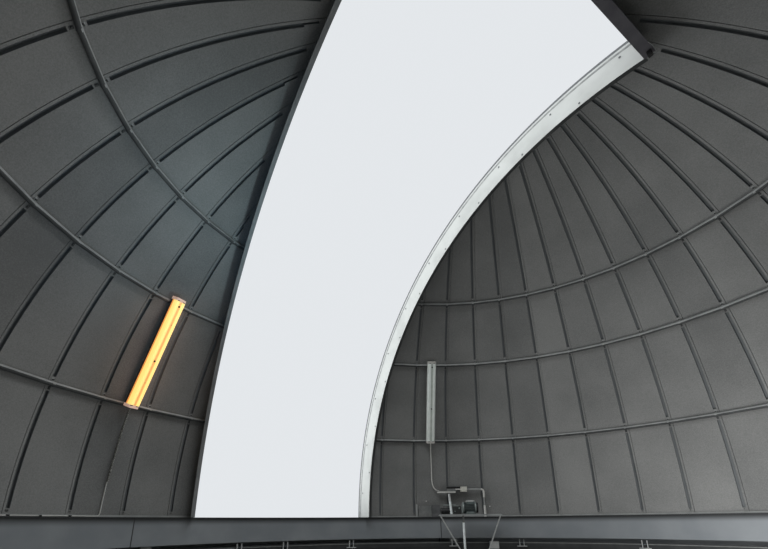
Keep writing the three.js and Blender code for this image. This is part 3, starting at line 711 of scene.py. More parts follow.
def stud(bm, place, radius, height, sides=6, material=None):
    """A bolt head or disc standing on the XY plane of a place."""
    lifted = place @ Matrix.Translation((0, 0, height / 2))
    verts = bmesh.ops.create_cone(
        bm, cap_ends=True, segments=sides, radius1=radius, radius2=radius, depth=height, matrix=lifted
    )["verts"]
    wear({face for vert in verts for face in vert.link_faces}, material)


def arch_finish(face, side, flange):
    """The finish of a face of an arch: pale in front, with sealant and a seal along its outer edge."""
    middle = face.calc_center_median()
    radius = (middle - DOME).xz.length + CHORD_SINK
    # The back of each arch plate takes a bluish grey, painted sky light in the arch's shade.
    if face.normal.y * side > 0.9 and ARCH_INNER + PLATE < radius < ARCH_OUTER - PLATE:
        return WEB_BACK_PAINTED_SKYLIGHT
    if middle.y * side > SLIT_HALF + PLATE / 10:
        return flange
    if radius > SEAL_LINES[2]:
        return DARK_SEAL
    if SEAL_LINES[0] < radius < SEAL_LINES[1]:
        return SEALANT
    return PALE_PAINT


# Chalky near-white on the arch plates, dark satin, also used as painted shade, and greys on the backs of the
# arches; the bluish grey on the back of each plate is painted sky light in its shade
PALE_PAINT = two_tone("pale_paint", (163, 165, 162), (148, 150, 147), (3, 5), (0.4, 0.75), (0.45, 0.2, 14))
DARK_PAINT_AND_PAINTED_SHADE = two_tone("dark_paint_and_painted_shade", (52, 54, 54), (72, 73, 72), (6, 4), (0.35, 0.8), (0.5, 0.2, 18))
FLANGE_PAINT = two_tone("flange_paint", (120, 123, 124), (138, 140, 140))
WEB_BACK_PAINTED_SKYLIGHT = two_tone("web_back_painted_skylight", (106, 116, 125), (118, 128, 136))
# Black rubber seal along the arch's outer edge, and grey sealant in the joint beside it
DARK_SEAL = two_tone("dark_seal", (44, 47, 50), (70, 73, 76), (14, 3), None, (0.5, 0.2, 30))
SEALANT = two_tone("edge_grey", (92, 94, 94), (128, 129, 127), (20, 4), (0.3, 0.8), (0.6, 0.2, 30))
# The right arch's flange takes the dark paint as painted shade; the left shows the flanges' own grey.
for name, side, flange in (("left", 1, FLANGE_PAINT), ("right", -1, DARK_PAINT_AND_PAINTED_SHADE)):
    bm = bmesh.new()
    over_dome(bm, ARCH_OUTLINE, side, ARCH_TOP, ARCH_STEPS)
    bisected(bm, (0, 0, DOME.z + FOOT), (0, 0, -1))
    bisected(bm, (ARCH_END, 0, 0), (-1, 0, 0))
    bmesh.ops.recalc_face_normals(bm, faces=bm.faces)
    bm.normal_update()
    for face in bm.faces:
        wear([face], arch_finish(face, side, flange))
    for radius, start in ARCH_BOLT_ROWS:
        for bolt in range(ARCH_BOLTS):
            angle = math.radians(start + bolt * ARCH_BOLT_TURN)
            spot = DOME + Vector((radius * math.cos(angle), side * SLIT_HALF, radius * math.sin(angle)))
            if spot.x > ARCH_END + ARCH_BOLT_CLEAR:
                place = Matrix.Translation(spot) @ Matrix.Rotation(side * math.pi / 2, 4, "X")
                stud(bm, place, *ARCH_BOLT_SIZE, 6, DARK_SEAL)
    arch = mesh_piece(f"arch_{name}", bm, PALE_PAINT, "dome")
    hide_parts(f"slit_arch_{name}")

# Near-black paint on the web and bluish grey on the flange, dull with old dust
BLACK_PAINT_AND_PAINTED_SHADE = two_tone("black_paint_and_painted_shade", (44, 46, 47), (60, 61, 61), (6, 4), (0.35, 0.8), (0.6, 0.2, 18))
BEAM_PAINT = two_tone("beam_paint", (82, 80, 86), (98, 96, 101))
bm = bmesh.new()
front = ARCH_END + PLATE
along = (SEAT - SLIT_HALF, SLIT_HALF - SEAT)
flange_top = BEAM_BOTTOM + PLATE
plate_at(bm, dome_place(), (ARCH_END, front), along, (flange_top, BEAM_TOP))
plate_at(bm, dome_place(), (front - BEAM_FLANGE, front), along, (BEAM_BOTTOM, flange_top))
web = (face for face in bm.faces if face.calc_center_median().z > DOME.z + flange_top + SEAT)
wear(web, BLACK_PAINT_AND_PAINTED_SHADE)
beam = mesh_piece("cross_beam", bm, BEAM_PAINT, "dome")
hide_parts("slit_cross_beam")


# Base ring
# A rolled steel channel under the panels, open below, which runs on the rollers. A sloping apron and a skirt
# outside it keep rain off the top of the wall. It is bolted up from lengths.
RING_INNER = 4.137
RING_TOP = -0.08
WEB_BOTTOM = -0.39
WEB = 0.008
CHANNEL_OUTER = 4.25
APRON = -0.165
SKIRT_OUTER = 4.414
SKIRT_TOP = -0.19
SKIRT_BOTTOM = -0.6
SKIRT_SHEET = 0.006
RING_STEPS = 172
LIP_SHADOW_DEPTH = 0.09
RING_LENGTHS = 6
RING_LENGTH_TURN = 360 / RING_LENGTHS
FIRST_JOINT = 26.5
JOINT_WIDTH = 0.008
LIP = 0.012
WEB_FACE = RING_INNER + LIP
RING_OUTLINE = (
    (WEB_FACE, WEB_BOTTOM),
    (WEB_FACE + WEB, WEB_BOTTOM),
    (WEB_FACE + WEB, RING_TOP - PLATE),
    (CHANNEL_OUTER - WEB, RING_TOP - PLATE),
    (CHANNEL_OUTER - WEB, APRON - WEB),
    (SKIRT_OUTER - SKIRT_SHEET, SKIRT_TOP - WEB),
    (SKIRT_OUTER - SKIRT_SHEET, SKIRT_BOTTOM),
    (SKIRT_OUTER, SKIRT_BOTTOM),
    (SKIRT_OUTER, SKIRT_TOP),
    (CHANNEL_OUTER, APRON),
    (CHANNEL_OUTER, RING_TOP),
    (RING_INNER, RING_TOP),
    (RING_INNER, RING_TOP - PLATE),
    (WEB_FACE, RING_TOP - PLATE),
)


def ring_paint():
    """Mid grey paint with scuffs, a painted shadow under the ring's lip, and dark joints between its lengths.
    """
    material, shader, place = finish("ring_paint")
    scuffed = place.noise(2.2, 5).ramp(0.3, 0.8).tint(paint(127, 132, 136), paint(143, 147, 150))
    # Painted shadow under the ring's lip: dark at the lip, fading out below it.
    lip_shadow_fade = (DOME.z + RING_TOP - PLATE - place.part("Z")).ramp(0.0, LIP_SHADOW_DEPTH)
    under_lip_shadow = lip_shadow_fade.tint(paint(50, 52, 53), scuffed)
    lengths = (place.round_turn() - math.radians(FIRST_JOINT)) / math.radians(RING_LENGTH_TURN)
    past = place.math("FRACT", lengths + RING_LENGTHS + 0.5) - 0.5
    joint = place.math("ABSOLUTE", past) * (math.radians(RING_LENGTH_TURN) * RING_INNER)
    joint.ramp(JOINT_WIDTH / 2, JOINT_WIDTH).tint(paint(48, 49, 50), under_lip_shadow).feed(shader, "Base Color")
    (0.35 + 0.2 * place.noise(9, 4)).feed(shader, "Roughness")
    return material


def turned_ring(bm, outline, steps):
    """A full turn of an outline of (radius, height) about the dome's axis."""
    loop = closed_loop(bm, [DOME + Vector((radius, 0, height)) for radius, height in outline])
    bmesh.ops.spin(bm, geom=loop, cent=DOME, axis=UP, angle=math.tau, steps=steps, use_merge=True)
    bmesh.ops.recalc_face_normals(bm, faces=bm.faces)


RING_PAINT = ring_paint()
bm = bmesh.new()
turned_ring(bm, RING_OUTLINE, RING_STEPS)
base = mesh_piece("base", bm, RING_PAINT, "dome")
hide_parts("base_ring")


# Wall
# A round rendered masonry wall, with a steel plate on its top for the rollers to stand on. The plate has a
# low upstand along its inner edge.
WALL_INNER = 4.15
WALL_OUTER = 4.37
WALL_MIDDLE = (WALL_INNER + WALL_OUTER) / 2
WALL_TOP = -0.5203
WALL_TOP_SHADE = (WALL_TOP - 0.2, WALL_TOP - 0.06)  # heights between which the inside turns dark, painted shade under the base ring
PLATE_OUTER = WALL_OUTER - 0.004
PLATE_BOTTOM = -0.52
PLATE_TOP = -0.508
UPSTAND_TOP = -0.44
WALL_OUTLINE = (
    (WALL_INNER, -DOME.z),
    (WALL_OUTER, -DOME.z),
    (WALL_OUTER, WALL_TOP),
    (WALL_INNER, WALL_TOP),
)
PLATE_OUTLINE = (
    (WALL_INNER - WEB, PLATE_BOTTOM),
    (PLATE_OUTER, PLATE_BOTTOM),
    (PLATE_OUTER, PLATE_TOP),
    (WALL_INNER, PLATE_TOP),
    (WALL_INNER, UPSTAND_TOP),
    (WALL_INNER - WEB, UPSTAND_TOP),
)


def render_coat():
    """Off-white trowelled render, damp-stained near the ground, with painted shade along the top of the
    inside.
    """
    material, shader, place = finish("render_coat")
    stain = (place.noise(1.3, 5) * 0.8 + (1 - place.part("Z").ramp(0, 0.5)) * 0.3).ramp(0.4, 0.9)
    coat = stain.tint(paint(204, 201, 192), paint(168, 163, 150))
    reach = place.node("VectorMath", {"operation": "LENGTH"}, {0: place.stretched(1, 1, 0)}, "Value")
    # Painted shade on the inside face near its top, under the base ring
    top = place.part("Z").ramp(*(DOME.z + height for height in WALL_TOP_SHADE))
    ((reach < WALL_MIDDLE) * top).tint(coat, paint(58, 59, 59)).feed(shader, "Base Color")
    (0.85 + 0.1 * place.noise(8)).feed(shader, "Roughness")
    (place.noise(90, 4) + place.noise(12, 3)).bump(0.003, 0.5).feed(shader, "Normal")
    return material


RENDER_COAT = render_coat()
bm = bmesh.new()
turned_ring(bm, WALL_OUTLINE, RING_STEPS)
wall = mesh_piece("wall", bm, RENDER_COAT, "building")
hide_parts("ring_wall_1", "ring_wall_2", "ring_wall_3", "ring_wall_4")
bm = bmesh.new()
turned_ring(bm, PLATE_OUTLINE, RING_STEPS)
# The plate is near-black, painted shade under the base ring.
plate = mesh_piece("plate_on_wall", bm, BLACK_PAINT_AND_PAINTED_SHADE, "building")
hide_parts("wall_plate")


# Shutter leaves
# Two curved leaves of ribbed white sheet, parked open on either side of the slit. Each is folded down along
# both edges, and its ribs run the way it curves.
LEAF_INNER = 4.31
LEAF_SHEET = 0.012
LEAF_OUTER = LEAF_INNER + LEAF_SHEET
LEAF_PAN = 4.316
LEAF_NEAR = 1.365
LEAF_FAR = 2.6
LEAF_NEAR_FLANGE = 4.2
LEAF_FAR_FLANGE = 4.11
LEAF_RIM = 0.03
LEAF_STEP = 0.006
LEAF_FOOT = -0.0897
LEAF_TOP = 104.5
LEAF_STEPS = 60
LEAF_RIBS = (1.57, 1.775, 1.98, 2.185, 2.39)
RIB_FOOT = 0.014
RIB_TOP = 0.007
ribs = []
for rib in LEAF_RIBS:
    ribs += [(LEAF_PAN, rib - RIB_FOOT), (LEAF_OUTER, rib - RIB_TOP)]
    ribs += [(LEAF_OUTER, rib + RIB_TOP), (LEAF_PAN, rib + RIB_FOOT)]
LEAF_OUTLINE = (
    (LEAF_NEAR_FLANGE, LEAF_NEAR),
    (LEAF_OUTER, LEAF_NEAR),
    (LEAF_OUTER, LEAF_NEAR + LEAF_RIM),
    (LEAF_PAN, LEAF_NEAR + LEAF_RIM + LEAF_STEP),
    *ribs,
    (LEAF_PAN, LEAF_FAR - LEAF_RIM - LEAF_STEP),
    (LEAF_OUTER, LEAF_FAR - LEAF_RIM),
    (LEAF_OUTER, LEAF_FAR),
    (LEAF_FAR_FLANGE, LEAF_FAR),
    (LEAF_FAR_FLANGE, LEAF_FAR - LEAF_SHEET),
    (LEAF_INNER, LEAF_FAR - LEAF_SHEET),
    (LEAF_INNER, LEAF_NEAR + LEAF_SHEET),
    (LEAF_NEAR_FLANGE, LEAF_NEAR + LEAF_SHEET),
)
for name, side in (("left", 1), ("right", -1)):
    bm = bmesh.new()
    over_dome(bm, LEAF_OUTLINE, side, LEAF_TOP, LEAF_STEPS)
    bisected(bm, (0, 0, DOME.z + LEAF_FOOT), (0, 0, -1))
    bmesh.ops.recalc_face_normals(bm, faces=bm.faces)
    leaf = mesh_piece(f"leaf_{name}", bm, WEATHERED_WHITE, "dome")
    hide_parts(f"shutter_leaf_{name}")


# Foot bar and seam clips
# A light steel bar runs round the feet of the panels, just over the base ring, in one length to a panel.
# Under each slot a small square clip with a bolt ties the two panels together.
BAR_INNER = 4.189
BAR_OUTER = 4.1965
BAR_TOP = -0.06
CLIP_WIDTH = 0.026
CLIP_TALL = 0.02
CLIP_FRONT = 0.004
CLIP_BACK = -0.003
CLIP_LIFT = 0.0005
CLIP_HEIGHT = -0.031
CLIP_BOLT = (0.0055, 0.004)


def seam_place(seam, rise, radius):
    """The place of a seam at a rise, with X level along the ring, Y up the seam and Z inwards."""
    spot = on_dome(radius, rise, seam_turn(seam))
    along = round_dome(seam_turn(seam)) @ Vector((0, -1, 0))
    inward = (DOME - spot).normalized()
    return Matrix.Translation(spot) @ Matrix((along, inward.cross(along), inward)).transposed().to_4x4()


# Plain mid grey paint on small steel parts, and dark zinc on bolt heads
GREY_PAINT = two_tone("grey_paint", (112, 114, 113), (132, 133, 131), (12, 4), (0.35, 0.75), (0.45, 0.2, 30))
BOLT_METAL = two_tone("bolt_metal", (52, 53, 54), (84, 85, 84), (60, 3), None, (0.35, 0.2, 90), Metallic=0.6)
bm = bmesh.new()
section = ((BAR_INNER, FOOT), (BAR_OUTER, FOOT), (BAR_OUTER, BAR_TOP), (BAR_INNER, BAR_TOP))
past_all_panels(bm, closed_loop(bm, [DOME + Vector((radius, 0, height)) for radius, height in section]))
ends_at_arches(bm)
mesh_piece("foot_bar", bm, LIGHT_GREY_AND_TUBE_PAINTED_LIGHT, "dome", FLAT_SHEET)
bm = bmesh.new()
for seam in range(PANELS + 1):
    place = Matrix.Translation((0, 0, CLIP_HEIGHT)) @ seam_place(seam, 0, RADIUS - CLIP_LIFT)
    across, tall = CLIP_WIDTH / 2, CLIP_TALL / 2
    plate_at(bm, place, (-across, across), (-tall, tall), (CLIP_BACK, CLIP_FRONT))
    stud(bm, place @ Matrix.Translation((0, 0, CLIP_FRONT)), *CLIP_BOLT, 6, BOLT_METAL)
mesh_piece("seam_clips", bm, GREY_PAINT, "dome")


# Saddle straps
# A bent steel strap holds each ring tube down where it crosses a seam, with a bolt through the lining above
# it and one below.
STRAP_WIDTH = 0.022
STRAP_SHEET = 0.002
STRAP_INNER = TUBE_RADIUS + 0.0006
STRAP_OUTER = STRAP_INNER + STRAP_SHEET
STRAP_EAR = 0.032
STRAP_LIFT = 0.0005
STRAP_STEPS = 6
STRAP_BOLT = 0.008
BOLT_HEIGHTS = {1: 0.0112, -1: 0.007}  # above the tube and below it
ARCH_CLEAR = 0.05  # no strap stands nearer to the slit than this


def saddle_strap():
    """A strap with its two ears and bolts, over a tube that lies along X."""
    strap = bmesh.new()
    half = STRAP_WIDTH / 2
    section = ((-half, STRAP_INNER), (half, STRAP_INNER), (half, STRAP_OUTER), (-half, STRAP_OUTER))
    outline = closed_loop(strap, [(x, y, TUBE_RADIUS) for x, y in section])
    turn = {"cent": (0, 0, TUBE_RADIUS), "axis": (1, 0, 0), "angle": math.pi}
    bmesh.ops.spin(strap, geom=outline, steps=STRAP_STEPS, **turn)
    close_holes(strap)
    for side in (1, -1):
        ear = (side * STRAP_INNER, side * (STRAP_OUTER + STRAP_EAR))
        plate_at(strap, Matrix(), (-half, half), ear, (0, STRAP_SHEET))
        bolt = Matrix.Translation((0, side * (STRAP_OUTER + STRAP_EAR / 2), STRAP_SHEET))
        stud(strap, bolt, STRAP_BOLT, BOLT_HEIGHTS[side], 6, BOLT_METAL)
    bmesh.ops.recalc_face_normals(strap, faces=strap.faces)
    # The lower half of each strap takes the tubes' dark grey as painted shade, the rest their painted light.
    wear((face for face in strap.faces if face.calc_center_median().y < 0), TUBE_PAINTED_SHADE)
    return strap


bm = bmesh.new()
for rise in RING_RISES:
    for seam in range(PANELS + 1):
        place = seam_place(seam, rise, RADIUS - TUBE_OFFSET + TUBE_RADIUS + STRAP_LIFT)
        spot = place.translation
        if spot.x < -BEAM_FACE or abs(spot.y) > SLIT_HALF + ARCH_CLEAR:
            join(bm, saddle_strap(), place)
mesh_piece("saddle_straps", bm, LIGHT_GREY_AND_TUBE_PAINTED_LIGHT, "dome")


# Lamps
# Two long twin-tube lamps with clear ribbed covers, screwed across the low and the middle ring tube. The left
# one is lit. Each has a tube along either side of a centre tray, a pale cap at both ends and two sensors.
LAMP_TURN = FIRST_SEAM + 1.5 * PANEL_TURN
LAMP_LENGTH = 1.298
LAMP_OFF = 0.001
LAMP_RAISED = 0.03  # along its run, from the middle between the two rings
LAMP_FRONT = 0.092
LAMP_CAP = 0.034
TRAY_HALF = 0.0145
TRAY_FLOOR = LAMP_FRONT - 0.004
LAMP_OUTLINE = (
    (0.0615, 0),
    (0.0695, 0.012),
    (0.0695, 0.041),
    (0.0555, 0.084),
    (0.0435, LAMP_FRONT),
    (TRAY_HALF, LAMP_FRONT),
    (TRAY_HALF, TRAY_FLOOR),
)
BODY_TOP = 0.03
GLOW_LINE = 0.056  # the tubes shine through the cover in front of this
SENSORS = (0.07, 0.574)  # shares of the length, from the top
SENSOR_SIZE = (0.0105, 0.008)
MARKS = (0.24, 0.77)
MARK_ASIDE = 0.006
MARK_SIZE = (0.004, 0.0015)
HOOKS = (-0.032, 0.032)  # sheet hooks that hold the cover to the caps
HOOK_HALF = 0.014
HOOK_LENGTH = 0.01
HOOK_SHEET = 0.0015
RIM_HALF = 0.05
RIM_ENDS = (0.001, 0.008)
RIM_HEIGHTS = (LAMP_FRONT - 0.001, LAMP_FRONT + 0.002)


def lit_cover(name, colour, glow, power):
    """Cover over a lit tube: warm light, faintly uneven along the ribs."""
    material, shader, place = finish(name, Roughness=0.3, Base_Color=colour, Emission_Strength=power)
    dimmer = tuple(0.9 * part for part in glow[:3]) + (1,)
    place.noise(160, 2).ramp(0.3, 0.75).tint(glow, dimmer).feed(shader, "Emission Color")
    return material


def clear_cover(name, low, high):
    """Cover over an unlit tube: clear plastic, pale and slightly green, glossy."""
    return two_tone(name, low, high, (14, 4), (0.3, 0.7), (0.25, 0.15, 120, 2), Coat_Weight=0.4)


# Pale grey moulded plastic, slightly yellowed, black plastic, and the covers of both lamps
LAMP_BODY = two_tone("lamp_body", (196, 194, 188), (214, 211, 205), (20, 3), None, (0.4, 0.1, 40))
BLACK_PLASTIC = two_tone("black_plastic", (20, 20, 21), (34, 34, 35), (30, 3), None, (0.35, 0.2, 50))
WARM_TUBE = lit_cover("warm_tube", paint(240, 220, 170), (1.0, 0.66, 0.16, 1), 1.1)
WARM_TRAY = lit_cover("warm_tray", paint(235, 205, 150), (0.86, 0.36, 0.08, 1), 0.82)
WARM_EDGE = lit_cover("warm_edge", paint(220, 180, 120), (1.0, 0.36, 0.07, 1), 0.8)
# The lit lamp's caps glow faintly as painted warm light from its tubes.
WARM_CAP_PAINTED_GLOW = lit_cover("warm_cap_painted_glow", paint(226, 206, 196), (1.0, 0.62, 0.46, 1), 0.34)
PALE_TUBE = clear_cover("pale_tube", (234, 241, 235), (243, 248, 243))
PALE_TRAY = clear_cover("pale_tray", (186, 193, 186), (200, 206, 199))

low_spot, middle_spot = (on_dome(RADIUS - TUBE_RADIUS - SEAT, rise) for rise in RING_RISES[:2])
low_spot.x *= HALF_PANEL
middle_spot.x *= HALF_PANEL
LAMP_UP = (middle_spot - low_spot).normalized()
LAMP_IN = Vector((-LAMP_UP.z, 0, LAMP_UP.x))
LAMP_BACK = (low_spot + middle_spot) / 2 + LAMP_IN * (TUBE_RADIUS + SEAT + LAMP_OFF) + LAMP_UP * LAMP_RAISED
LAMP_AXES = Matrix((LAMP_UP.cross(LAMP_IN), LAMP_UP, LAMP_IN)).transposed().to_4x4()


def lamp_place(side):
    """The middle of a lamp's back, with Y up along the lamp and Z towards its front."""
    return round_dome(side * LAMP_TURN).to_4x4() @ Matrix.Translation(LAMP_BACK) @ LAMP_AXES


# The lit lamp's lower sides take the dark paint as painted shade, where the other lamp's are pale.
for name, side, cap, tube, tray, edge, body in (
    ("left", 1, WARM_CAP_PAINTED_GLOW, WARM_TUBE, WARM_TRAY, WARM_EDGE, DARK_PAINT_AND_PAINTED_SHADE),
    ("right", -1, LAMP_BODY, PALE_TUBE, PALE_TRAY, PALE_TUBE, LAMP_BODY),
):
    bm = bmesh.new()
    end_y = LAMP_LENGTH / 2
    half = [(x, -end_y, z) for x, z in LAMP_OUTLINE]
    outline = closed_loop(bm, half + [(-x, y, z) for x, y, z in reversed(half)])
    bmesh.ops.contextual_create(bm, geom=outline[2 * len(half) :])
    grown = bmesh.ops.extrude_face_region(bm, geom=list(bm.faces))["geom"]
    bmesh.ops.translate(bm, vec=(0, LAMP_LENGTH, 0), verts=verts_in(grown))
    cuts = (
        ((0, end_y - LAMP_CAP, 0), (0, 1, 0)),
        ((0, LAMP_CAP - end_y, 0), (0, 1, 0)),
        ((0, 0, GLOW_LINE), (0, 0, 1)),
    )
    for spot, normal in cuts:
        bmesh.ops.bisect_plane(bm, geom=parts_of(bm.faces), dist=1e-6, plane_co=spot, plane_no=normal)
    bmesh.ops.recalc_face_normals(bm, faces=bm.faces)
    for face in bm.faces:
        middle = face.calc_center_median()
        if abs(middle.y) > end_y - LAMP_CAP:
            wear([face], cap)
        elif middle.z < BODY_TOP:
            wear([face], body)
        elif abs(middle.x) < TRAY_HALF + SEAT:
            wear([face], tray)
        elif middle.z < GLOW_LINE:
            wear([face], edge)
    for share in SENSORS:
        spot = Matrix.Translation((0, (0.5 - share) * LAMP_LENGTH, TRAY_FLOOR))
        stud(bm, spot, *SENSOR_SIZE, 12, BLACK_PLASTIC)
    for share in MARKS:
        spot = Matrix.Translation((MARK_ASIDE, (0.5 - share) * LAMP_LENGTH, TRAY_FLOOR))
        stud(bm, spot, *MARK_SIZE, 8, GREY_PAINT)
    for end in (1, -1):
        hook_y = (end * (end_y - LAMP_CAP), end * (end_y - LAMP_CAP + HOOK_LENGTH))
        for x in HOOKS:
            hook_z = (LAMP_FRONT, LAMP_FRONT + HOOK_SHEET)
            plate_at(bm, Matrix(), (x - HOOK_HALF, x + HOOK_HALF), hook_y, hook_z, GREY_PAINT)
        rim_y = [end * (end_y - inset) for inset in RIM_ENDS]
        plate_at(bm, Matrix(), (-RIM_HALF, RIM_HALF), rim_y, RIM_HEIGHTS, cap)
    bmesh.ops.transform(bm, matrix=lamp_place(side), verts=bm.verts)
    lamp = mesh_piece(f"light_{name}", bm, tube, "dome")
    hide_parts(f"lamp_{name}")

# Glow of the lit lamp on the lining beside it
GLOW_SIZE = (0.05, 1.2)
GLOW_TINT = (1, 0.64, 0.48)
GLOW_ASIDE = 0.076
GLOW_FRONT = 0.05
GLOW_TURN = 62
for side, radiance in ((1, 2.9), (-1, 1.7)):
    glow = soft_box("lamp_glow", LAMP_BACK, DOME, GLOW_SIZE, radiance, GLOW_TINT)
    beside = Matrix.Translation((side * GLOW_ASIDE, 0, GLOW_FRONT))
    glow.matrix_world = lamp_place(1) @ beside @ Matrix.Rotation(math.radians(-side * GLOW_TURN), 4, "Y")


# Conduits
# From the left lamp a ribbed flexible conduit runs down the panel, then a thin cable lies on along the base
# ring, held by small clips. From the right lamp a thin white conduit runs down to the socket box.
MOUTH_FRONT = 0.037  # where the conduits leave a lamp, in front of its back and along it
MOUTH_RUN = (0.001, -0.059)
HOSE = 0.0125
HOSE_GROOVE = 0.0022
HOSE_RIB = 0.006
HOSE_BEND = 0.08
HOSE_DROPS = ((31.3, 0.78), (31.28, 0.6), (31.37, 0.43), (31.42, 0.27))  # turns and heights it passes
CABLE = 0.0055
CABLE_BEND = 0.05
CABLE_OFF = 0.013
CABLE_DROPS = ((31.38, 0.3), (31.44, 0.1), (31.5, -0.0735))
CABLE_TURNS = (32.2, 34, 36, 38, 40, 42, 44, 46.5)
CABLE_LYING = FOOT + CABLE + 0.0002
CABLE_LYING_OFF = 0.021
CABLE_WAVE = 0.004
CABLE_WAVE_STEP = 2.1
CABLE_CLIPS = (35.5, 39.2, 42.9)
CABLE_CLIP = ((-0.012, 0.012), (-0.011, 0.011), (SEAT, 0.014))
THIN_CONDUIT = 0.0085
THIN_CORNER = 0.06
THIN_DROPS = ((-31.8, 0.92), (-31.88, 0.66), (-31.9, 0.47))
THIN_OFF = 0.02
THIN_BEND = ((-32.1, 0.375), (-32.75, 0.322), (-33.9, 0.3))
THIN_BEND_OFF = 0.045
PANEL_OFF = 0.025


def bent(points, bend, steps=5):
    """A path through points with its corners rounded."""
    path = [points[0]]
    for before, corner, after in zip(points, points[1:], points[2:]):
        start = corner + (before - corner).normalized() * min(bend, (before - corner).length / 2)
        end = corner + (after - corner).normalized() * min(bend, (after - corner).length / 2)
        for step in range(steps + 1):
            share = step / steps
            path.append(start.lerp(corner, share).lerp(corner.lerp(end, share), share))
    path.append(points[-1])
    return [point for i, point in enumerate(path) if i == 0 or (point - path[i - 1]).length > 1e-5]


def every(path, spacing):
    """Points at an even spacing along a path."""
    spots = [path[0]]
    left = spacing
    for start, end in zip(path, path[1:]):
        run = (end - start).length
        while left < run:
            spots.append(start.lerp(end, left / run))
            left += spacing
        left -= run
    return spots


def swept(bm, path, radii, sides=8, material=None):
    """A round bar along a path, with a radius at each of its points."""
    ahead = path[1] - path[0]
    turn = ahead.to_track_quat("Z", "X")
    before = Matrix.LocRotScale(path[0], turn, None) @ Matrix.Scale(radii[0], 4)
    made = bmesh.ops.create_circle(bm, segments=sides, radius=1, matrix=before)["verts"]
    start = list({edge for vert in made for edge in vert.link_edges})
    loop = start
    faces = []
    for i in range(1, len(path)):
        run = path[min(i + 1, len(path) - 1)] - path[i - 1]
        turn = ahead.rotation_difference(run) @ turn
        ahead = run
        now = Matrix.LocRotScale(path[i], turn, None) @ Matrix.Scale(radii[i], 4)
        grown = bmesh.ops.extrude_edge_only(bm, edges=loop)["geom"]
        bmesh.ops.transform(bm, matrix=now @ before.inverted(), verts=verts_in(grown))
        faces += [part for part in grown if isinstance(part, bmesh.types.BMFace)]
        loop = [part for part in grown if isinstance(part, bmesh.types.BMEdge) and part.is_boundary]
        before = now
    faces += bmesh.ops.holes_fill(bm, edges=start + loop, sides=0)["faces"]
    wear(faces, material)
    bmesh.ops.recalc_face_normals(bm, faces=faces)


def tube_along(bm, path, radius, sides=8, material=None):
    """A round bar of one thickness along a path."""
    swept(bm, path, [radius] * len(path), sides, material)


def panel_spot(turn, height, off=PANEL_OFF):
    """A point in front of the flat middle of a panel."""
    radius = math.sqrt(RADIUS**2 - max(0, height) ** 2) * HALF_PANEL - off
    angle = math.radians(turn)
    return DOME + Vector((radius * math.cos(angle), radius * math.sin(angle), height))


def lamp_mouth(side):
    """Where a conduit leaves the lower end of a lamp, and the point under it."""
    return [lamp_place(side) @ Vector((0, run - LAMP_LENGTH / 2, MOUTH_FRONT)) for run in MOUTH_RUN]


def braid():
    """Woven metal sleeve of the flexible conduit, dark between bright wires."""
    material, shader, place = finish("braid", Metallic=0.5)
    weave = place.noise(170, 2)
    weave.ramp(0.42, 0.58).tint(paint(62, 61, 58), paint(176, 175, 168)).feed(shader, "Base Color")
    (0.35 + 0.2 * place.noise(90)).feed(shader, "Roughness")
    weave.bump(0.002, 0.8).feed(shader, "Normal")
    return material


# White conduit plastic, a little dusty, and the metal sleeve
WHITE_PLASTIC = two_tone("white_plastic", (200, 199, 193), (226, 225, 220), (25, 3), None, (0.4, 0.2, 50))
BRAID = braid()
bm = bmesh.new()
run = [*lamp_mouth(1), *(panel_spot(turn, height) for turn, height in HOSE_DROPS)]
spots = every(bent(run, HOSE_BEND), HOSE_RIB)
swept(bm, spots, [HOSE - HOSE_GROOVE * (i % 2) for i in range(len(spots))])
run = [panel_spot(turn, height, CABLE_OFF) for turn, height in CABLE_DROPS]
for i, turn in enumerate(CABLE_TURNS):
    wave = CABLE_WAVE * math.sin(i * CABLE_WAVE_STEP)
    run.append(panel_spot(turn, CABLE_LYING + abs(wave) / 4, CABLE_LYING_OFF + wave))
tube_along(bm, bent(run, CABLE_BEND), CABLE, 8, WHITE_PLASTIC)
for turn in CABLE_CLIPS:
    spot = Matrix.Translation((panel_spot(0, 0, CABLE_LYING_OFF).x, 0, FOOT))
    plate_at(bm, dome_place(turn) @ spot, *CABLE_CLIP, BLACK_PLASTIC)
hose = mesh_piece("conduit_from_left_light", bm, BRAID, "dome", 60)
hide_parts("conduit_left")

bm = bmesh.new()
run = [*lamp_mouth(-1), *(panel_spot(turn, height, THIN_OFF) for turn, height in THIN_DROPS)]
run += [panel_spot(turn, height, THIN_BEND_OFF) for turn, height in THIN_BEND]
tube_along(bm, bent(run, THIN_CORNER), THIN_CONDUIT)
thin = mesh_piece("conduit_from_right_light", bm, WHITE_PLASTIC, "dome", 60)
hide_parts("conduit_right")


# Socket box
# A small open-backed steel box and a tray beside it, held off the panel, with a cream socket at its right
# end. Spans are out from the dome's centre, along to the left and up.
BOX_TURN = -37.2
BOX_BACK = 4.142
BOX_FRONT = 4.08
BOX_SHEET = 0.003
box_inside = BOX_BACK - BOX_SHEET - SEAT
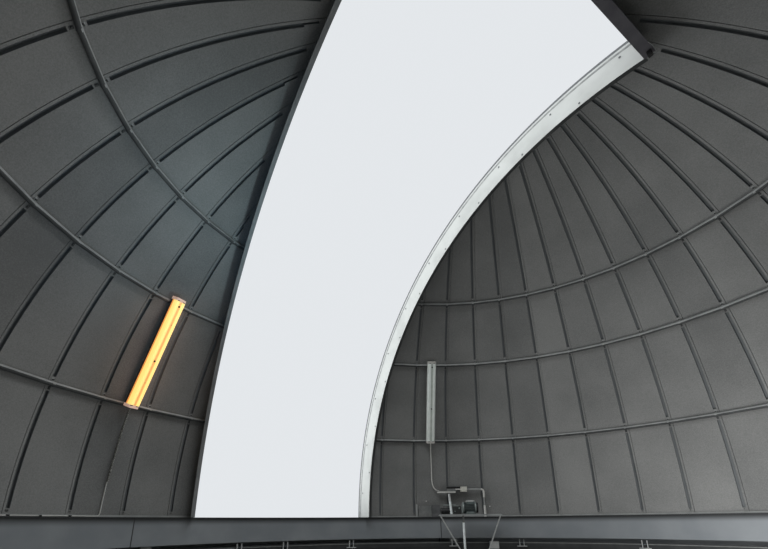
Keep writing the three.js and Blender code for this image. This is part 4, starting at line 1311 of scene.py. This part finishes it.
# Light grey metal paint, and cream socket plastic, slightly yellowed
SATIN_STEEL = two_tone(
    "satin_steel", (150, 153, 154), (172, 174, 173), (5, 4), (0.3, 0.7), (0.38, 0.16, 24), Metallic=0.35
)
CREAM_PLASTIC = two_tone("cream_plastic", (206, 204, 192), (222, 220, 210), (30, 3), None, (0.35, 0.2, 50))
BOX_PARTS = {
    "back": ((BOX_BACK - BOX_SHEET, BOX_BACK), (-0.06, 0.156), (0.262, 0.38), GREY_PAINT),
    "top": ((BOX_FRONT, box_inside), (-0.06, 0.156), (0.377, 0.38), SATIN_STEEL),
    # The black block inside the box is painted shade.
    "painted shade inside": ((BOX_FRONT, box_inside), (-0.058, 0.154), (0.342, 0.3765), BLACK_PLASTIC),
    "white sill": ((BOX_FRONT - 0.004, box_inside), (-0.06, 0.02), (0.327, 0.3415), WHITE_PLASTIC),
    "grey sill": ((BOX_FRONT - 0.002, box_inside), (0.0203, 0.156), (0.302, 0.3415), GREY_PAINT),
    "tray": ((BOX_FRONT - 0.012, box_inside), (0.02, 0.302), (0.281, 0.29), WHITE_PLASTIC),
    "tray lip": ((BOX_FRONT - 0.012, BOX_FRONT - 0.009), (0.02, 0.302), (0.2903, 0.3), WHITE_PLASTIC),
    "cable in the tray": ((BOX_FRONT + 0.01, BOX_BACK - 0.01), (0.16, 0.3), (0.2905, 0.312), GREY_PAINT),
    "socket": ((BOX_FRONT - 0.008, BOX_BACK), (-0.158, -0.0603), (0.296, 0.372), CREAM_PLASTIC),
    "right spacer": ((BOX_BACK + SEAT, BOX_BACK + 0.036), (-0.116, -0.092), (0.31, 0.334), GREY_PAINT),
    "left spacer": ((BOX_BACK + SEAT, BOX_BACK + 0.036), (0.098, 0.122), (0.31, 0.334), GREY_PAINT),
}
SOCKET_SCREW = (0.004, 0.0015)
SOCKET_SCREWS = ((-0.145, 0.31), (-0.075, 0.31), (-0.145, 0.358), (-0.075, 0.358))


def plates(bm, place, parts):
    """A box for each named part of a small assembly."""
    for x, y, z, material in parts.values():
        plate_at(bm, place, x, y, z, material)


def facing_in(place, *spot):
    """A spot in the axes of a place, with Z turned towards the middle of the dome."""
    return place @ Matrix.Translation(spot) @ Matrix.Rotation(-math.pi / 2, 4, "Y")


box_place = dome_place(BOX_TURN)
bm = bmesh.new()
plates(bm, box_place, BOX_PARTS)
for along, height in SOCKET_SCREWS:
    stud(bm, facing_in(box_place, BOX_FRONT - 0.008, along, height), *SOCKET_SCREW, 8)
box = mesh_piece("socket_and_tray", bm, GREY_PAINT, "dome")
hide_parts("socket_box")


# Last length of conduit
# A thick painted conduit from the socket down to the base ring, with a white elbow, a coupling and two
# buttons on the panel beside it.
TAIL_TURN = -43.05
TAIL_OFF = 0.03
PIPE = 0.0125
ELBOW = PIPE + 0.004
ELBOW_START = 0.19  # from the socket
ELBOW_POINTS = 9
SOCKET_MOUTH = (4.105, -0.1585, 0.331)
LEVEL_END = (4.105, -0.3, 0.331)
TAIL_HEIGHTS = (0.331, 0.2, 0.09)
TAIL_BEND = 0.045
FITTING = 0.018
FITTING_FOOT = 0.021
COUPLING = (  # heights and radii
    (0.0895, PIPE),
    (0.088, FITTING),
    (0.02, FITTING),
    (-0.058, FITTING),
    (-0.062, FITTING_FOOT),
    (FOOT + 0.0004, FITTING_FOOT),
)
BUTTON = (0.009, 0.01)
BUTTONS = ((4.155, -0.504, 0.073), (4.155, 0.481, 0.161))
bm = bmesh.new()
run = [box_place @ Vector(SOCKET_MOUTH), box_place @ Vector(LEVEL_END)]
path = bent(run + [panel_spot(TAIL_TURN, height, TAIL_OFF) for height in TAIL_HEIGHTS], TAIL_BEND)
tube_along(bm, path, PIPE, 10)
coupling = [panel_spot(TAIL_TURN, height, TAIL_OFF) for height, radius in COUPLING]
swept(bm, coupling, [radius for height, radius in COUPLING], 10, WHITE_PLASTIC)
elbow = [point for point in path if (point - path[0]).length > ELBOW_START]
tube_along(bm, elbow[:ELBOW_POINTS], ELBOW, 10, WHITE_PLASTIC)
for spot in BUTTONS:
    stud(bm, facing_in(box_place, *spot), *BUTTON, 8, WHITE_PLASTIC)
tail = mesh_piece("conduit_to_ring", bm, LIGHT_GREY_AND_TUBE_PAINTED_LIGHT, "dome", 60)
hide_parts("conduit_tail")


# Junction box
# A flat painted cable box on the base ring against the panels, with a screwed lid, a plate on one side of it
# and a bright strip on the other.
JUNCTION_TURN = -30.2
JUNCTION_FRONT = 4.1377
JUNCTION_BACK = 4.1777
JUNCTION_LID = 0.006
JUNCTION_HALF = 0.1
JUNCTION_TOP = 0.085
JUNCTION_SCREW = (0.0045, 0.002)
# Dark slate paint on plates
SLATE_PAINT = two_tone("slate_paint", (88, 90, 90), (106, 107, 108), (10, 4), (0.3, 0.75), (0.4, 0.2, 20))
lid_back = JUNCTION_FRONT + JUNCTION_LID
across = (-JUNCTION_HALF, JUNCTION_HALF)
JUNCTION_PARTS = {
    "case": ((lid_back, JUNCTION_BACK), across, (FOOT, JUNCTION_TOP), GREY_PAINT),
    "lid": ((JUNCTION_FRONT, lid_back - SEAT), across, (FOOT + 0.002, JUNCTION_TOP), GREY_PAINT),
    "plate beside it": ((4.146, 4.162), (-0.235, -0.106), (FOOT, 0.1), SLATE_PAINT),
    "bright strip": ((4.144, 4.15), (0.118, 0.142), (FOOT, 0.11), SATIN_STEEL),
}
junction_place = dome_place(JUNCTION_TURN)
bm = bmesh.new()
plates(bm, junction_place, JUNCTION_PARTS)
for along in (-0.088, 0.088):
    for height in (-0.066, 0.073):
        stud(bm, facing_in(junction_place, JUNCTION_FRONT, along, height), *JUNCTION_SCREW, 8, SATIN_STEEL)
junction = mesh_piece("cable_box", bm, GREY_PAINT, "dome")
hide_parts("junction_box")


# Box under the beam
# A small black plastic junction box with a lid, screwed up under the cross beam's flange at its right end,
# with a loop of thin grey cable from it.
BEAM_BOX = {
    "case": ((-0.914, -0.88), (-1.198, -1.162), (3.688, 3.7375), BLACK_PLASTIC),
    "lid": ((-0.909, -0.885), (-1.193, -1.167), (3.6857, 3.6877), BLACK_PLASTIC),
}
BEAM_CABLE = ((-0.933, -1.08, 3.73), (-0.95, -1.14, 3.7), (-0.945, -1.21, 3.69), (-0.9, -1.1985, 3.71))
BEAM_CABLE_BEND = 0.07
BEAM_CABLE_RADIUS = 0.7 * CABLE
bm = bmesh.new()
plates(bm, dome_place(), BEAM_BOX)
path = bent([DOME + Vector(spot) for spot in BEAM_CABLE], BEAM_CABLE_BEND)
tube_along(bm, path, BEAM_CABLE_RADIUS, 6, GREY_PAINT)
mesh_piece("box_under_beam", bm, BLACK_PLASTIC, "dome")


# Drive shelf
# A folded steel shelf on two round struts from the wall and one leg from the ground, with a short white post
# on its front edge.
DRIVE_TURN = -39.4
SHELF_INNER = 3.74
SHELF_OUTER = 3.99
SHELF_HALF = 0.45
SHELF_TOP = -0.05
SHELF_SHEET = 0.006
SHELF_LIP = 0.018
LIP_SHEET = 0.003
STRUT = 0.0095
STRUT_TOP = (3.765, 0.438)
STRUT_FEET = {1: -0.072, -1: -0.112}  # how far along the struts meet the wall, by the end that they hold
STRUT_FOOT = (4.125, -0.95)
BRACKET_ALONG = 0.44
LEG = 0.0165
LEG_NECK = LEG - 0.004
LEG_OUT = 3.8
LEG_ALONG = 0.1
LEG_COLLAR = -0.165
LEG_FOOT_SHEET = 0.01
POST = 0.0165
POST_FOOT_SPOT = (3.7615, 0.268, SHELF_TOP + 0.0013)
POST_TOP_SPOT = (3.7615, 0.292, 0.246)
POST_JOINT = (0.62, 0.6205)  # shares of the post's height where its lower part ends and its upper part starts
FOOT_BOLT = (0.009, 0.007)
WALL_BOLTS = [(4.136, along, height) for along in (-0.125, 0.1) for height in (-0.995, -0.905)]
# White paint on the leg and the post, grubby in patches, and light grey paint on the struts
PALE_TUBE_PAINT = two_tone(
    "pale_tube_paint", (240, 246, 246), (214, 219, 219), (16, 4), (0.35, 0.8), (0.35, 0.2, 30)
)
STRUT_PAINT = two_tone("strut_paint", (186, 188, 187), (206, 208, 206), (14, 4), (0.3, 0.75), (0.45, 0.2, 30))
under = SHELF_TOP - SHELF_SHEET
shelf_along = (-SHELF_HALF, SHELF_HALF)
SHELF_PARTS = {
    "sheet": ((SHELF_INNER + LIP_SHEET, SHELF_OUTER), shelf_along, (under, SHELF_TOP), GREY_PAINT),
    "lip": (
        (SHELF_INNER, SHELF_INNER + LIP_SHEET - SEAT),
        shelf_along,
        (SHELF_TOP - SHELF_LIP, SHELF_TOP),
        SATIN_STEEL,
    ),
    "plate on the wall": ((4.136, 4.1425), (-0.14, 0.12), (-1.01, -0.89), GREY_PAINT),
    "leg's foot": (
        (3.74, 3.86),
        (LEG_ALONG - 0.06, LEG_ALONG + 0.06),
        (-DOME.z, LEG_FOOT_SHEET - SEAT - DOME.z),
        GREY_PAINT,
    ),
    "post's foot": ((3.745, 3.785), (0.24, 0.296), (SHELF_TOP + 0.001, SHELF_TOP + 0.005), SATIN_STEEL),
}


def rod(bm, place, start, end, radius, sides=12, material=None):
    """A straight round bar between two points in the axes of a place."""
    tube_along(bm, [place @ Vector(start), place @ Vector(end)], radius, sides, material)


drive_place = dome_place(DRIVE_TURN)
bm = bmesh.new()
plates(bm, drive_place, SHELF_PARTS)
for end, foot_along in STRUT_FEET.items():
    top = (STRUT_TOP[0], end * STRUT_TOP[1], under - 0.004)
    rod(bm, drive_place, top, (STRUT_FOOT[0], foot_along, STRUT_FOOT[1]), STRUT, 12, STRUT_PAINT)
    bracket = (end * BRACKET_ALONG - 0.02, end * BRACKET_ALONG + 0.02)
    plate_at(bm, drive_place, (3.745, 3.79), bracket, (under - 0.012, under - SEAT), SATIN_STEEL)
for spot in WALL_BOLTS:
    stud(bm, facing_in(drive_place, *spot), *FOOT_BOLT, 6, BOLT_METAL)
collar = (LEG_OUT, LEG_ALONG, LEG_COLLAR)
# The leg's narrow top under the shelf is grey as painted shade; its lower length is white.
rod(bm, drive_place, (LEG_OUT, LEG_ALONG, under - SEAT), collar, LEG_NECK, 16)
rod(bm, drive_place, collar, (LEG_OUT, LEG_ALONG, LEG_FOOT_SHEET - DOME.z), LEG, 16, PALE_TUBE_PAINT)
post_foot, post_top = (drive_place @ Vector(spot) for spot in (POST_FOOT_SPOT, POST_TOP_SPOT))
lower_end, upper_start = (post_foot.lerp(post_top, share) for share in POST_JOINT)
tube_along(bm, [post_foot, lower_end], POST, 12, PALE_TUBE_PAINT)
tube_along(bm, [upper_start, post_top], POST, 12, STRUT_PAINT)
shelf = mesh_piece("shelf", bm, GREY_PAINT, "building")
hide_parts("drive_shelf")


# Motor
# A finned motor on a foot plate with a flange at either end, a fan cover and a flat terminal box on top.
# It lies along the shelf, bolted to it. Barrels give their ends, radius, sides and finish.
MOTOR_MIDDLE = 3.875
MOTOR_AXIS = 0.096
MOTOR_FLANGE = 0.083
FIN_COUNT = 26
FIN = ((-0.0018, 0.0018), (-0.077, 0.077), (0.064, 0.079))
RING_BOLTS = 8
RING_BOLT = (0.0035, 0.004)
RING_BOLT_CIRCLE = 0.077
MOTOR_FEET = (0.04, 0.079)  # how far from its middle line they reach
MOTOR_BOLTS = (-0.082, -0.03, 0.01, 0.055)
# Teal-grey machine enamel, and a lighter grey metal on flanges, strips, bolts and rods
MACHINE_PAINT = two_tone("machine_paint", (96, 106, 105), (76, 84, 84), (18, 4), (0.3, 0.75), (0.3, 0.25, 30))
LIGHT_FLANGE = two_tone(
    "light_flange", (126, 136, 134), (158, 165, 162), (26, 4), None, (0.3, 0.2, 40), Metallic=0.3
)
MOTOR_BARRELS = {
    "casing": (-0.079, 0.079, 0.066, 26, MACHINE_PAINT),
    "left flange": (0.0793, 0.0997, MOTOR_FLANGE, 28, LIGHT_FLANGE),
    "right flange": (-0.0997, -0.0793, MOTOR_FLANGE, 28, LIGHT_FLANGE),
    "fan cover": (-0.129, -0.1, 0.074, 28, BLACK_PLASTIC),
    "cover's centre": (-0.13, -0.1293, 0.05, 20, BOLT_METAL),
}
TERMINAL_PARTS = {
    "terminal box": ((-0.053, 0.053), (-0.078, 0.038), (0.15, 0.183), MACHINE_PAINT),
    "terminal lid": ((-0.055, 0.055), (-0.08, 0.04), (0.1833, 0.2), STRUT_PAINT),
}
on_shelf = drive_place @ Matrix.Translation((MOTOR_MIDDLE, 0, SHELF_TOP + SEAT))


def barrel(bm, start, end, radius, sides, material, axis=MOTOR_AXIS):
    """A drum over the middle of the shelf that lies along it."""
    rod(bm, on_shelf, (0, start, axis), (0, end, axis), radius, sides, material)


bm = bmesh.new()
for shape in MOTOR_BARRELS.values():
    barrel(bm, *shape)
for fin in range(FIN_COUNT):
    turn = Matrix.Rotation(math.tau * (fin + 0.5) / FIN_COUNT, 4, "Y")
    place = on_shelf @ Matrix.Translation((0, 0, MOTOR_AXIS)) @ turn
    plate_at(bm, place, *FIN)
for foot in (-1, 1):
    low_x, high_x = sorted(foot * reach for reach in MOTOR_FEET)
    wide = 0.005 * foot
    plate_at(bm, on_shelf, (low_x, high_x), (-0.095, 0.068), (0, 0.012))
    plate_at(bm, on_shelf, (low_x, low_x + 0.02 + wide), (-0.07, 0.045), (0.0123, 0.026), LIGHT_FLANGE)
    plate_at(bm, on_shelf, (low_x + 0.002, low_x + 0.018 + wide), (-0.07, 0.045), (0.0263, 0.045))
    for along in MOTOR_BOLTS:
        bolt = on_shelf @ Matrix.Translation((foot * 0.069, along, 0.0123))
        stud(bm, bolt, 0.0075, 0.008, 6, LIGHT_FLANGE)
plates(bm, on_shelf, TERMINAL_PARTS)
for along in (-0.07, 0.03):
    stud(bm, facing_in(on_shelf, -0.055, along, 0.191), 0.0045, 0.002, 8, BOLT_METAL)
for i in range(RING_BOLTS):
    turn = Matrix.Rotation(math.tau * (i + 0.5) / RING_BOLTS, 4, "Y")
    place = on_shelf @ Matrix.Translation((0, -0.0997, MOTOR_AXIS)) @ turn
    head = Matrix.Translation((0, 0, RING_BOLT_CIRCLE)) @ Matrix.Rotation(math.pi / 2, 4, "X")
    stud(bm, place @ head, *RING_BOLT, 6, BOLT_METAL)
motor = mesh_piece("motor", bm, MACHINE_PAINT, "building")
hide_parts("drive_motor")


# Gearbox
# A dark painted cast gearbox bolted to the shelf beside the motor, with a black drum on its far side and two
# light steel rods along its top.
HUB_AXIS = 0.05
DRUM = 0.0425
DRUM_RIM = 0.0455
GEARBOX_PARTS = {
    "flange": ((-0.078, 0.078), (0.1006, 0.118), (0.01, 0.124), LIGHT_FLANGE),
    "case": ((-0.07, 0.07), (0.1183, 0.235), (0.014, 0.118), DARK_PAINT_AND_PAINTED_SHADE),
    "foot": ((-0.08, 0.08), (0.105, 0.248), (0, 0.0097), DARK_PAINT_AND_PAINTED_SHADE),
    "far cover": ((-0.076, 0.076), (0.2353, 0.2497), (0.012, 0.122), DARK_PAINT_AND_PAINTED_SHADE),
    "right bearing of the long rod": ((-0.056, -0.044), (0.21, 0.216), (0.1183, 0.1283), DARK_PAINT_AND_PAINTED_SHADE),
    "left bearing of the long rod": ((-0.056, -0.044), (0.3725, 0.3785), (0, 0.1283), DARK_PAINT_AND_PAINTED_SHADE),
}
HUB_BARRELS = {
    "stub shaft": (0.25, 0.2917, 0.0155, 16, BOLT_METAL),
    "right rim": (0.292, 0.301, DRUM_RIM, 28, BLACK_PLASTIC),
    "drum": (0.3013, 0.4067, DRUM, 28, BLACK_PLASTIC),
    "left rim": (0.407, 0.416, DRUM_RIM, 28, BLACK_PLASTIC),
    "shaft's end": (0.4163, 0.4205, 0.022, 16, BOLT_METAL),
}
CASE_DISCS = (  # how far along and up, radius and finish
    (0.15, 0.09, 0.012, LIGHT_FLANGE),
    (0.2, 0.088, 0.016, BOLT_METAL),
    (0.17, 0.04, 0.018, BOLT_METAL),
    (0.215, 0.045, 0.009, LIGHT_FLANGE),
)
COVER_BOLTS = [(-0.0765, along, height) for along in (0.112, 0.242) for height in (0.022, 0.114)]
bm = bmesh.new()
plates(bm, on_shelf, GEARBOX_PARTS)
for shape in HUB_BARRELS.values():
    barrel(bm, *shape, HUB_AXIS)
for along, height, radius, material in CASE_DISCS:
    stud(bm, facing_in(on_shelf, -0.07, along, height), radius, 0.006, 12, material)
for spot in COVER_BOLTS:
    stud(bm, facing_in(on_shelf, *spot), 0.005, 0.004, 6, LIGHT_FLANGE)
rod(bm, on_shelf, (-0.06, 0.1405, 0.1175), (-0.06, 0.2497, 0.1175), 0.0055, 10, LIGHT_FLANGE)
rod(bm, on_shelf, (-0.05, 0.2, 0.135), (-0.05, 0.385, 0.135), 0.0065, 10, LIGHT_FLANGE)
for along in (0.15, 0.24):
    plate_at(bm, on_shelf, (-0.068, -0.052), (along - 0.006, along + 0.006), (0.108, 0.1248))
gearbox = mesh_piece("gearbox", bm, DARK_PAINT_AND_PAINTED_SHADE, "building")
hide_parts("drive_gearbox")


# Brackets on the wall's top
# Small two-legged steel stands behind the plate's upstand, a cable box under the shelf, and a thin grey
# steel strip along the upstand.
STAND_TURNS = (8.3, -0.6, -14.2, -36.06, -49.94, -72)
STAND_FRONT = 4.115
STAND_BACK = 4.1405
EDGE_LINE = ((4.138, -0.462), (4.1417, -0.462), (4.1417, -0.452), (4.138, -0.452))
# Bluish grey enamel of the cable box
BLUE_GREY = two_tone("blue_grey", (98, 104, 110), (116, 121, 126), (14, 4), (0.3, 0.75), (0.35, 0.2, 30))
stand_deep = (STAND_FRONT, STAND_BACK)
STAND_PARTS = {
    "right leg": (stand_deep, (-0.034, -0.026), (-0.5, -0.405), STRUT_PAINT),
    "left leg": (stand_deep, (0.026, 0.034), (-0.5, -0.405), STRUT_PAINT),
    "cross bar": (stand_deep, (-0.0257, 0.0257), (-0.46, -0.452), BLUE_GREY),
    "foot": ((STAND_FRONT - 0.003, STAND_BACK), (-0.07, 0.07), (-0.509, -0.5003), STRUT_PAINT),
}
CABLE_BOX = {
    "case": ((4.075, 4.134), (-0.425, -0.285), (-0.545, -0.435), BLUE_GREY),
    "lid": ((4.07, 4.0747), (-0.42, -0.29), (-0.54, -0.44), STRUT_PAINT),
}
bm = bmesh.new()
for turn in STAND_TURNS:
    plates(bm, dome_place(turn), STAND_PARTS)
plates(bm, drive_place, CABLE_BOX)
mesh_piece("wall_brackets", bm, STRUT_PAINT, "building")
bm = bmesh.new()
turned_ring(bm, EDGE_LINE, RING_STEPS)
mesh_piece("edge_line", bm, GREY_PAINT, "building")


# Roller stands and wheels
# Six welded steel stands bolted to the wall plate, each with a rubber-faced wheel on a fixed axle. The base
# ring runs on the wheels.
ROLLERS = 6
FIRST_ROLLER = 23.94
ROLLER_CIRCLE = 4.193
WHEEL_RADIUS = 0.08
WHEEL_HALF = 0.02
WHEEL_STEPS = 32
AXLE = 0.015
HUB = 0.03
TYRE = 0.062
TREAD = 0.06  # the wheel is rubber past this radius
WHEEL_CENTRE = RING_TOP - PLATE - SEAT - WHEEL_RADIUS
WHEEL_EDGE = 0.003
DISH_HALF = 0.012
WHEEL_OUTLINE = (
    (-WHEEL_HALF, AXLE + SEAT),
    (-WHEEL_HALF, HUB),
    (-DISH_HALF, HUB + 0.004),
    (-DISH_HALF, TYRE - 0.004),
    (-WHEEL_HALF, TYRE),
    (-WHEEL_HALF, WHEEL_RADIUS - WHEEL_EDGE),
    (-WHEEL_HALF + WHEEL_EDGE, WHEEL_RADIUS),
)
STAND_FOOT = PLATE_TOP + SEAT
FOOT_TOP = STAND_FOOT + 0.012
CHEEKS = ((-0.03, -0.022), (0.022, 0.03))
CHEEK_TOP = -0.13
# Black rubber of the wheel treads, dusty grey
RUBBER = two_tone("rubber", (30, 30, 31), (62, 61, 59), (20, 4), (0.4, 0.8), (0.7, 0.2, 40))
for i in range(ROLLERS):
    place = dome_place(FIRST_ROLLER + i * 360 / ROLLERS) @ Matrix.Translation((ROLLER_CIRCLE, 0, 0))
    bm = bmesh.new()
    plate_at(bm, place, (-0.038, 0.05), (-0.09, 0.09), (STAND_FOOT, FOOT_TOP))
    for cheek in CHEEKS:
        plate_at(bm, place, cheek, (-0.06, 0.06), (FOOT_TOP + SEAT, CHEEK_TOP))
    rod(bm, place, (-0.034, 0, WHEEL_CENTRE), (0.034, 0, WHEEL_CENTRE), AXLE, 16, BOLT_METAL)
    for along in (-0.075, 0.075):
        stud(bm, place @ Matrix.Translation((0.006, along, FOOT_TOP + SEAT)), *FOOT_BOLT, 6, BOLT_METAL)
    stand_piece = mesh_piece(f"stand_{i + 1}", bm, GREY_PAINT, "building")
    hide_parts(f"roller_stand_{i + 1}")
    bm = bmesh.new()
    rim = [(x, radius, 0) for x, radius in WHEEL_OUTLINE]
    loop = closed_loop(bm, rim + [(-x, radius, 0) for x, radius, _ in reversed(rim)])
    turn = {"cent": (0, 0, 0), "axis": (1, 0, 0), "angle": math.tau, "use_merge": True}
    bmesh.ops.spin(bm, geom=loop, steps=WHEEL_STEPS, **turn)
    bmesh.ops.recalc_face_normals(bm, faces=bm.faces)
    wear((face for face in bm.faces if face.calc_center_median().yz.length > TREAD), RUBBER)
    bmesh.ops.transform(bm, matrix=place @ Matrix.Translation((0, 0, WHEEL_CENTRE)), verts=bm.verts)
    wheel = mesh_piece(f"wheel_{i + 1}", bm, SLATE_PAINT, "building")
    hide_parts(f"roller_wheel_{i + 1}")


# Shutter rails
# White steel box rails across the dome that the shutter leaves run on. The one in front of the slit is on
# four arms from the base ring, and the one behind it is on posts from the shell.
RAIL_HALF = 2.64
FRONT_RAIL = ((4.3, 4.36), (-0.2, -0.09))  # how far out and up each rail reaches from and to
FRONT_ARMS = (-2.5, -1.5, 1.5, 2.5)
ARM_HALF = 0.025
ARM_SEAT = CHANNEL_OUTER + 0.002
ARM_HEIGHTS = (-0.164, -0.13)
RAIL_BOLT_HEIGHTS = (-0.115, -0.18)
RAIL_BOLT = (0.009, 0.006)
REAR_RAIL = ((-1.07, -1.01), (4.122, 4.178))
REAR_LENGTHS = ((-2.64, -2.6007), (-2.5873, -1.3777), (-1.3643, 1.3643), (1.3777, 2.5873), (2.6007, 2.64))
REAR_POSTS = (-2.5, -1.42, -0.3, 0.3, 1.42, 2.5)
REAR_POST_HALF = 0.03
REAR_POST_SHORTEST = 0.02
REAR_POST_ROOT = 0.1  # what is cut off along the shell
POST_FOOT = 4.2415
rail_place = dome_place()
out, up = FRONT_RAIL
bm = bmesh.new()
plate_at(bm, rail_place, out, (-RAIL_HALF, RAIL_HALF), up)
for middle in FRONT_ARMS:
    start = math.sqrt(ARM_SEAT**2 - (abs(middle) - ARM_HALF) ** 2)
    plate_at(bm, rail_place, (start, out[0] - SEAT), (middle - ARM_HALF, middle + ARM_HALF), ARM_HEIGHTS)
    for height in RAIL_BOLT_HEIGHTS:
        spot = rail_place @ Matrix.Translation((out[1], middle, height))
        stud(bm, spot @ Matrix.Rotation(math.pi / 2, 4, "Y"), *RAIL_BOLT, 6, BOLT_METAL)
rail = mesh_piece("front_rail", bm, WEATHERED_WHITE, "dome")
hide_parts("shutter_rail_front")

out, up = REAR_RAIL
bm = bmesh.new()
for length in REAR_LENGTHS:
    plate_at(bm, rail_place, out, length, up)
for middle in REAR_POSTS:
    seat = Vector((sum(out) / 2, middle, 0))
    seat.z = math.sqrt(POST_FOOT**2 - seat.length_squared)
    if seat.z < up[0] - REAR_POST_SHORTEST:
        post = bmesh.new()
        along = (middle - REAR_POST_HALF, middle + REAR_POST_HALF)
        plate_at(post, rail_place, out, along, (seat.z - REAR_POST_ROOT, up[0] - SEAT))
        bisected(post, DOME + seat, -seat)
        join(bm, post)
rail = mesh_piece("rear_rail", bm, WEATHERED_WHITE, "dome")
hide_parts("shutter_rail_rear")
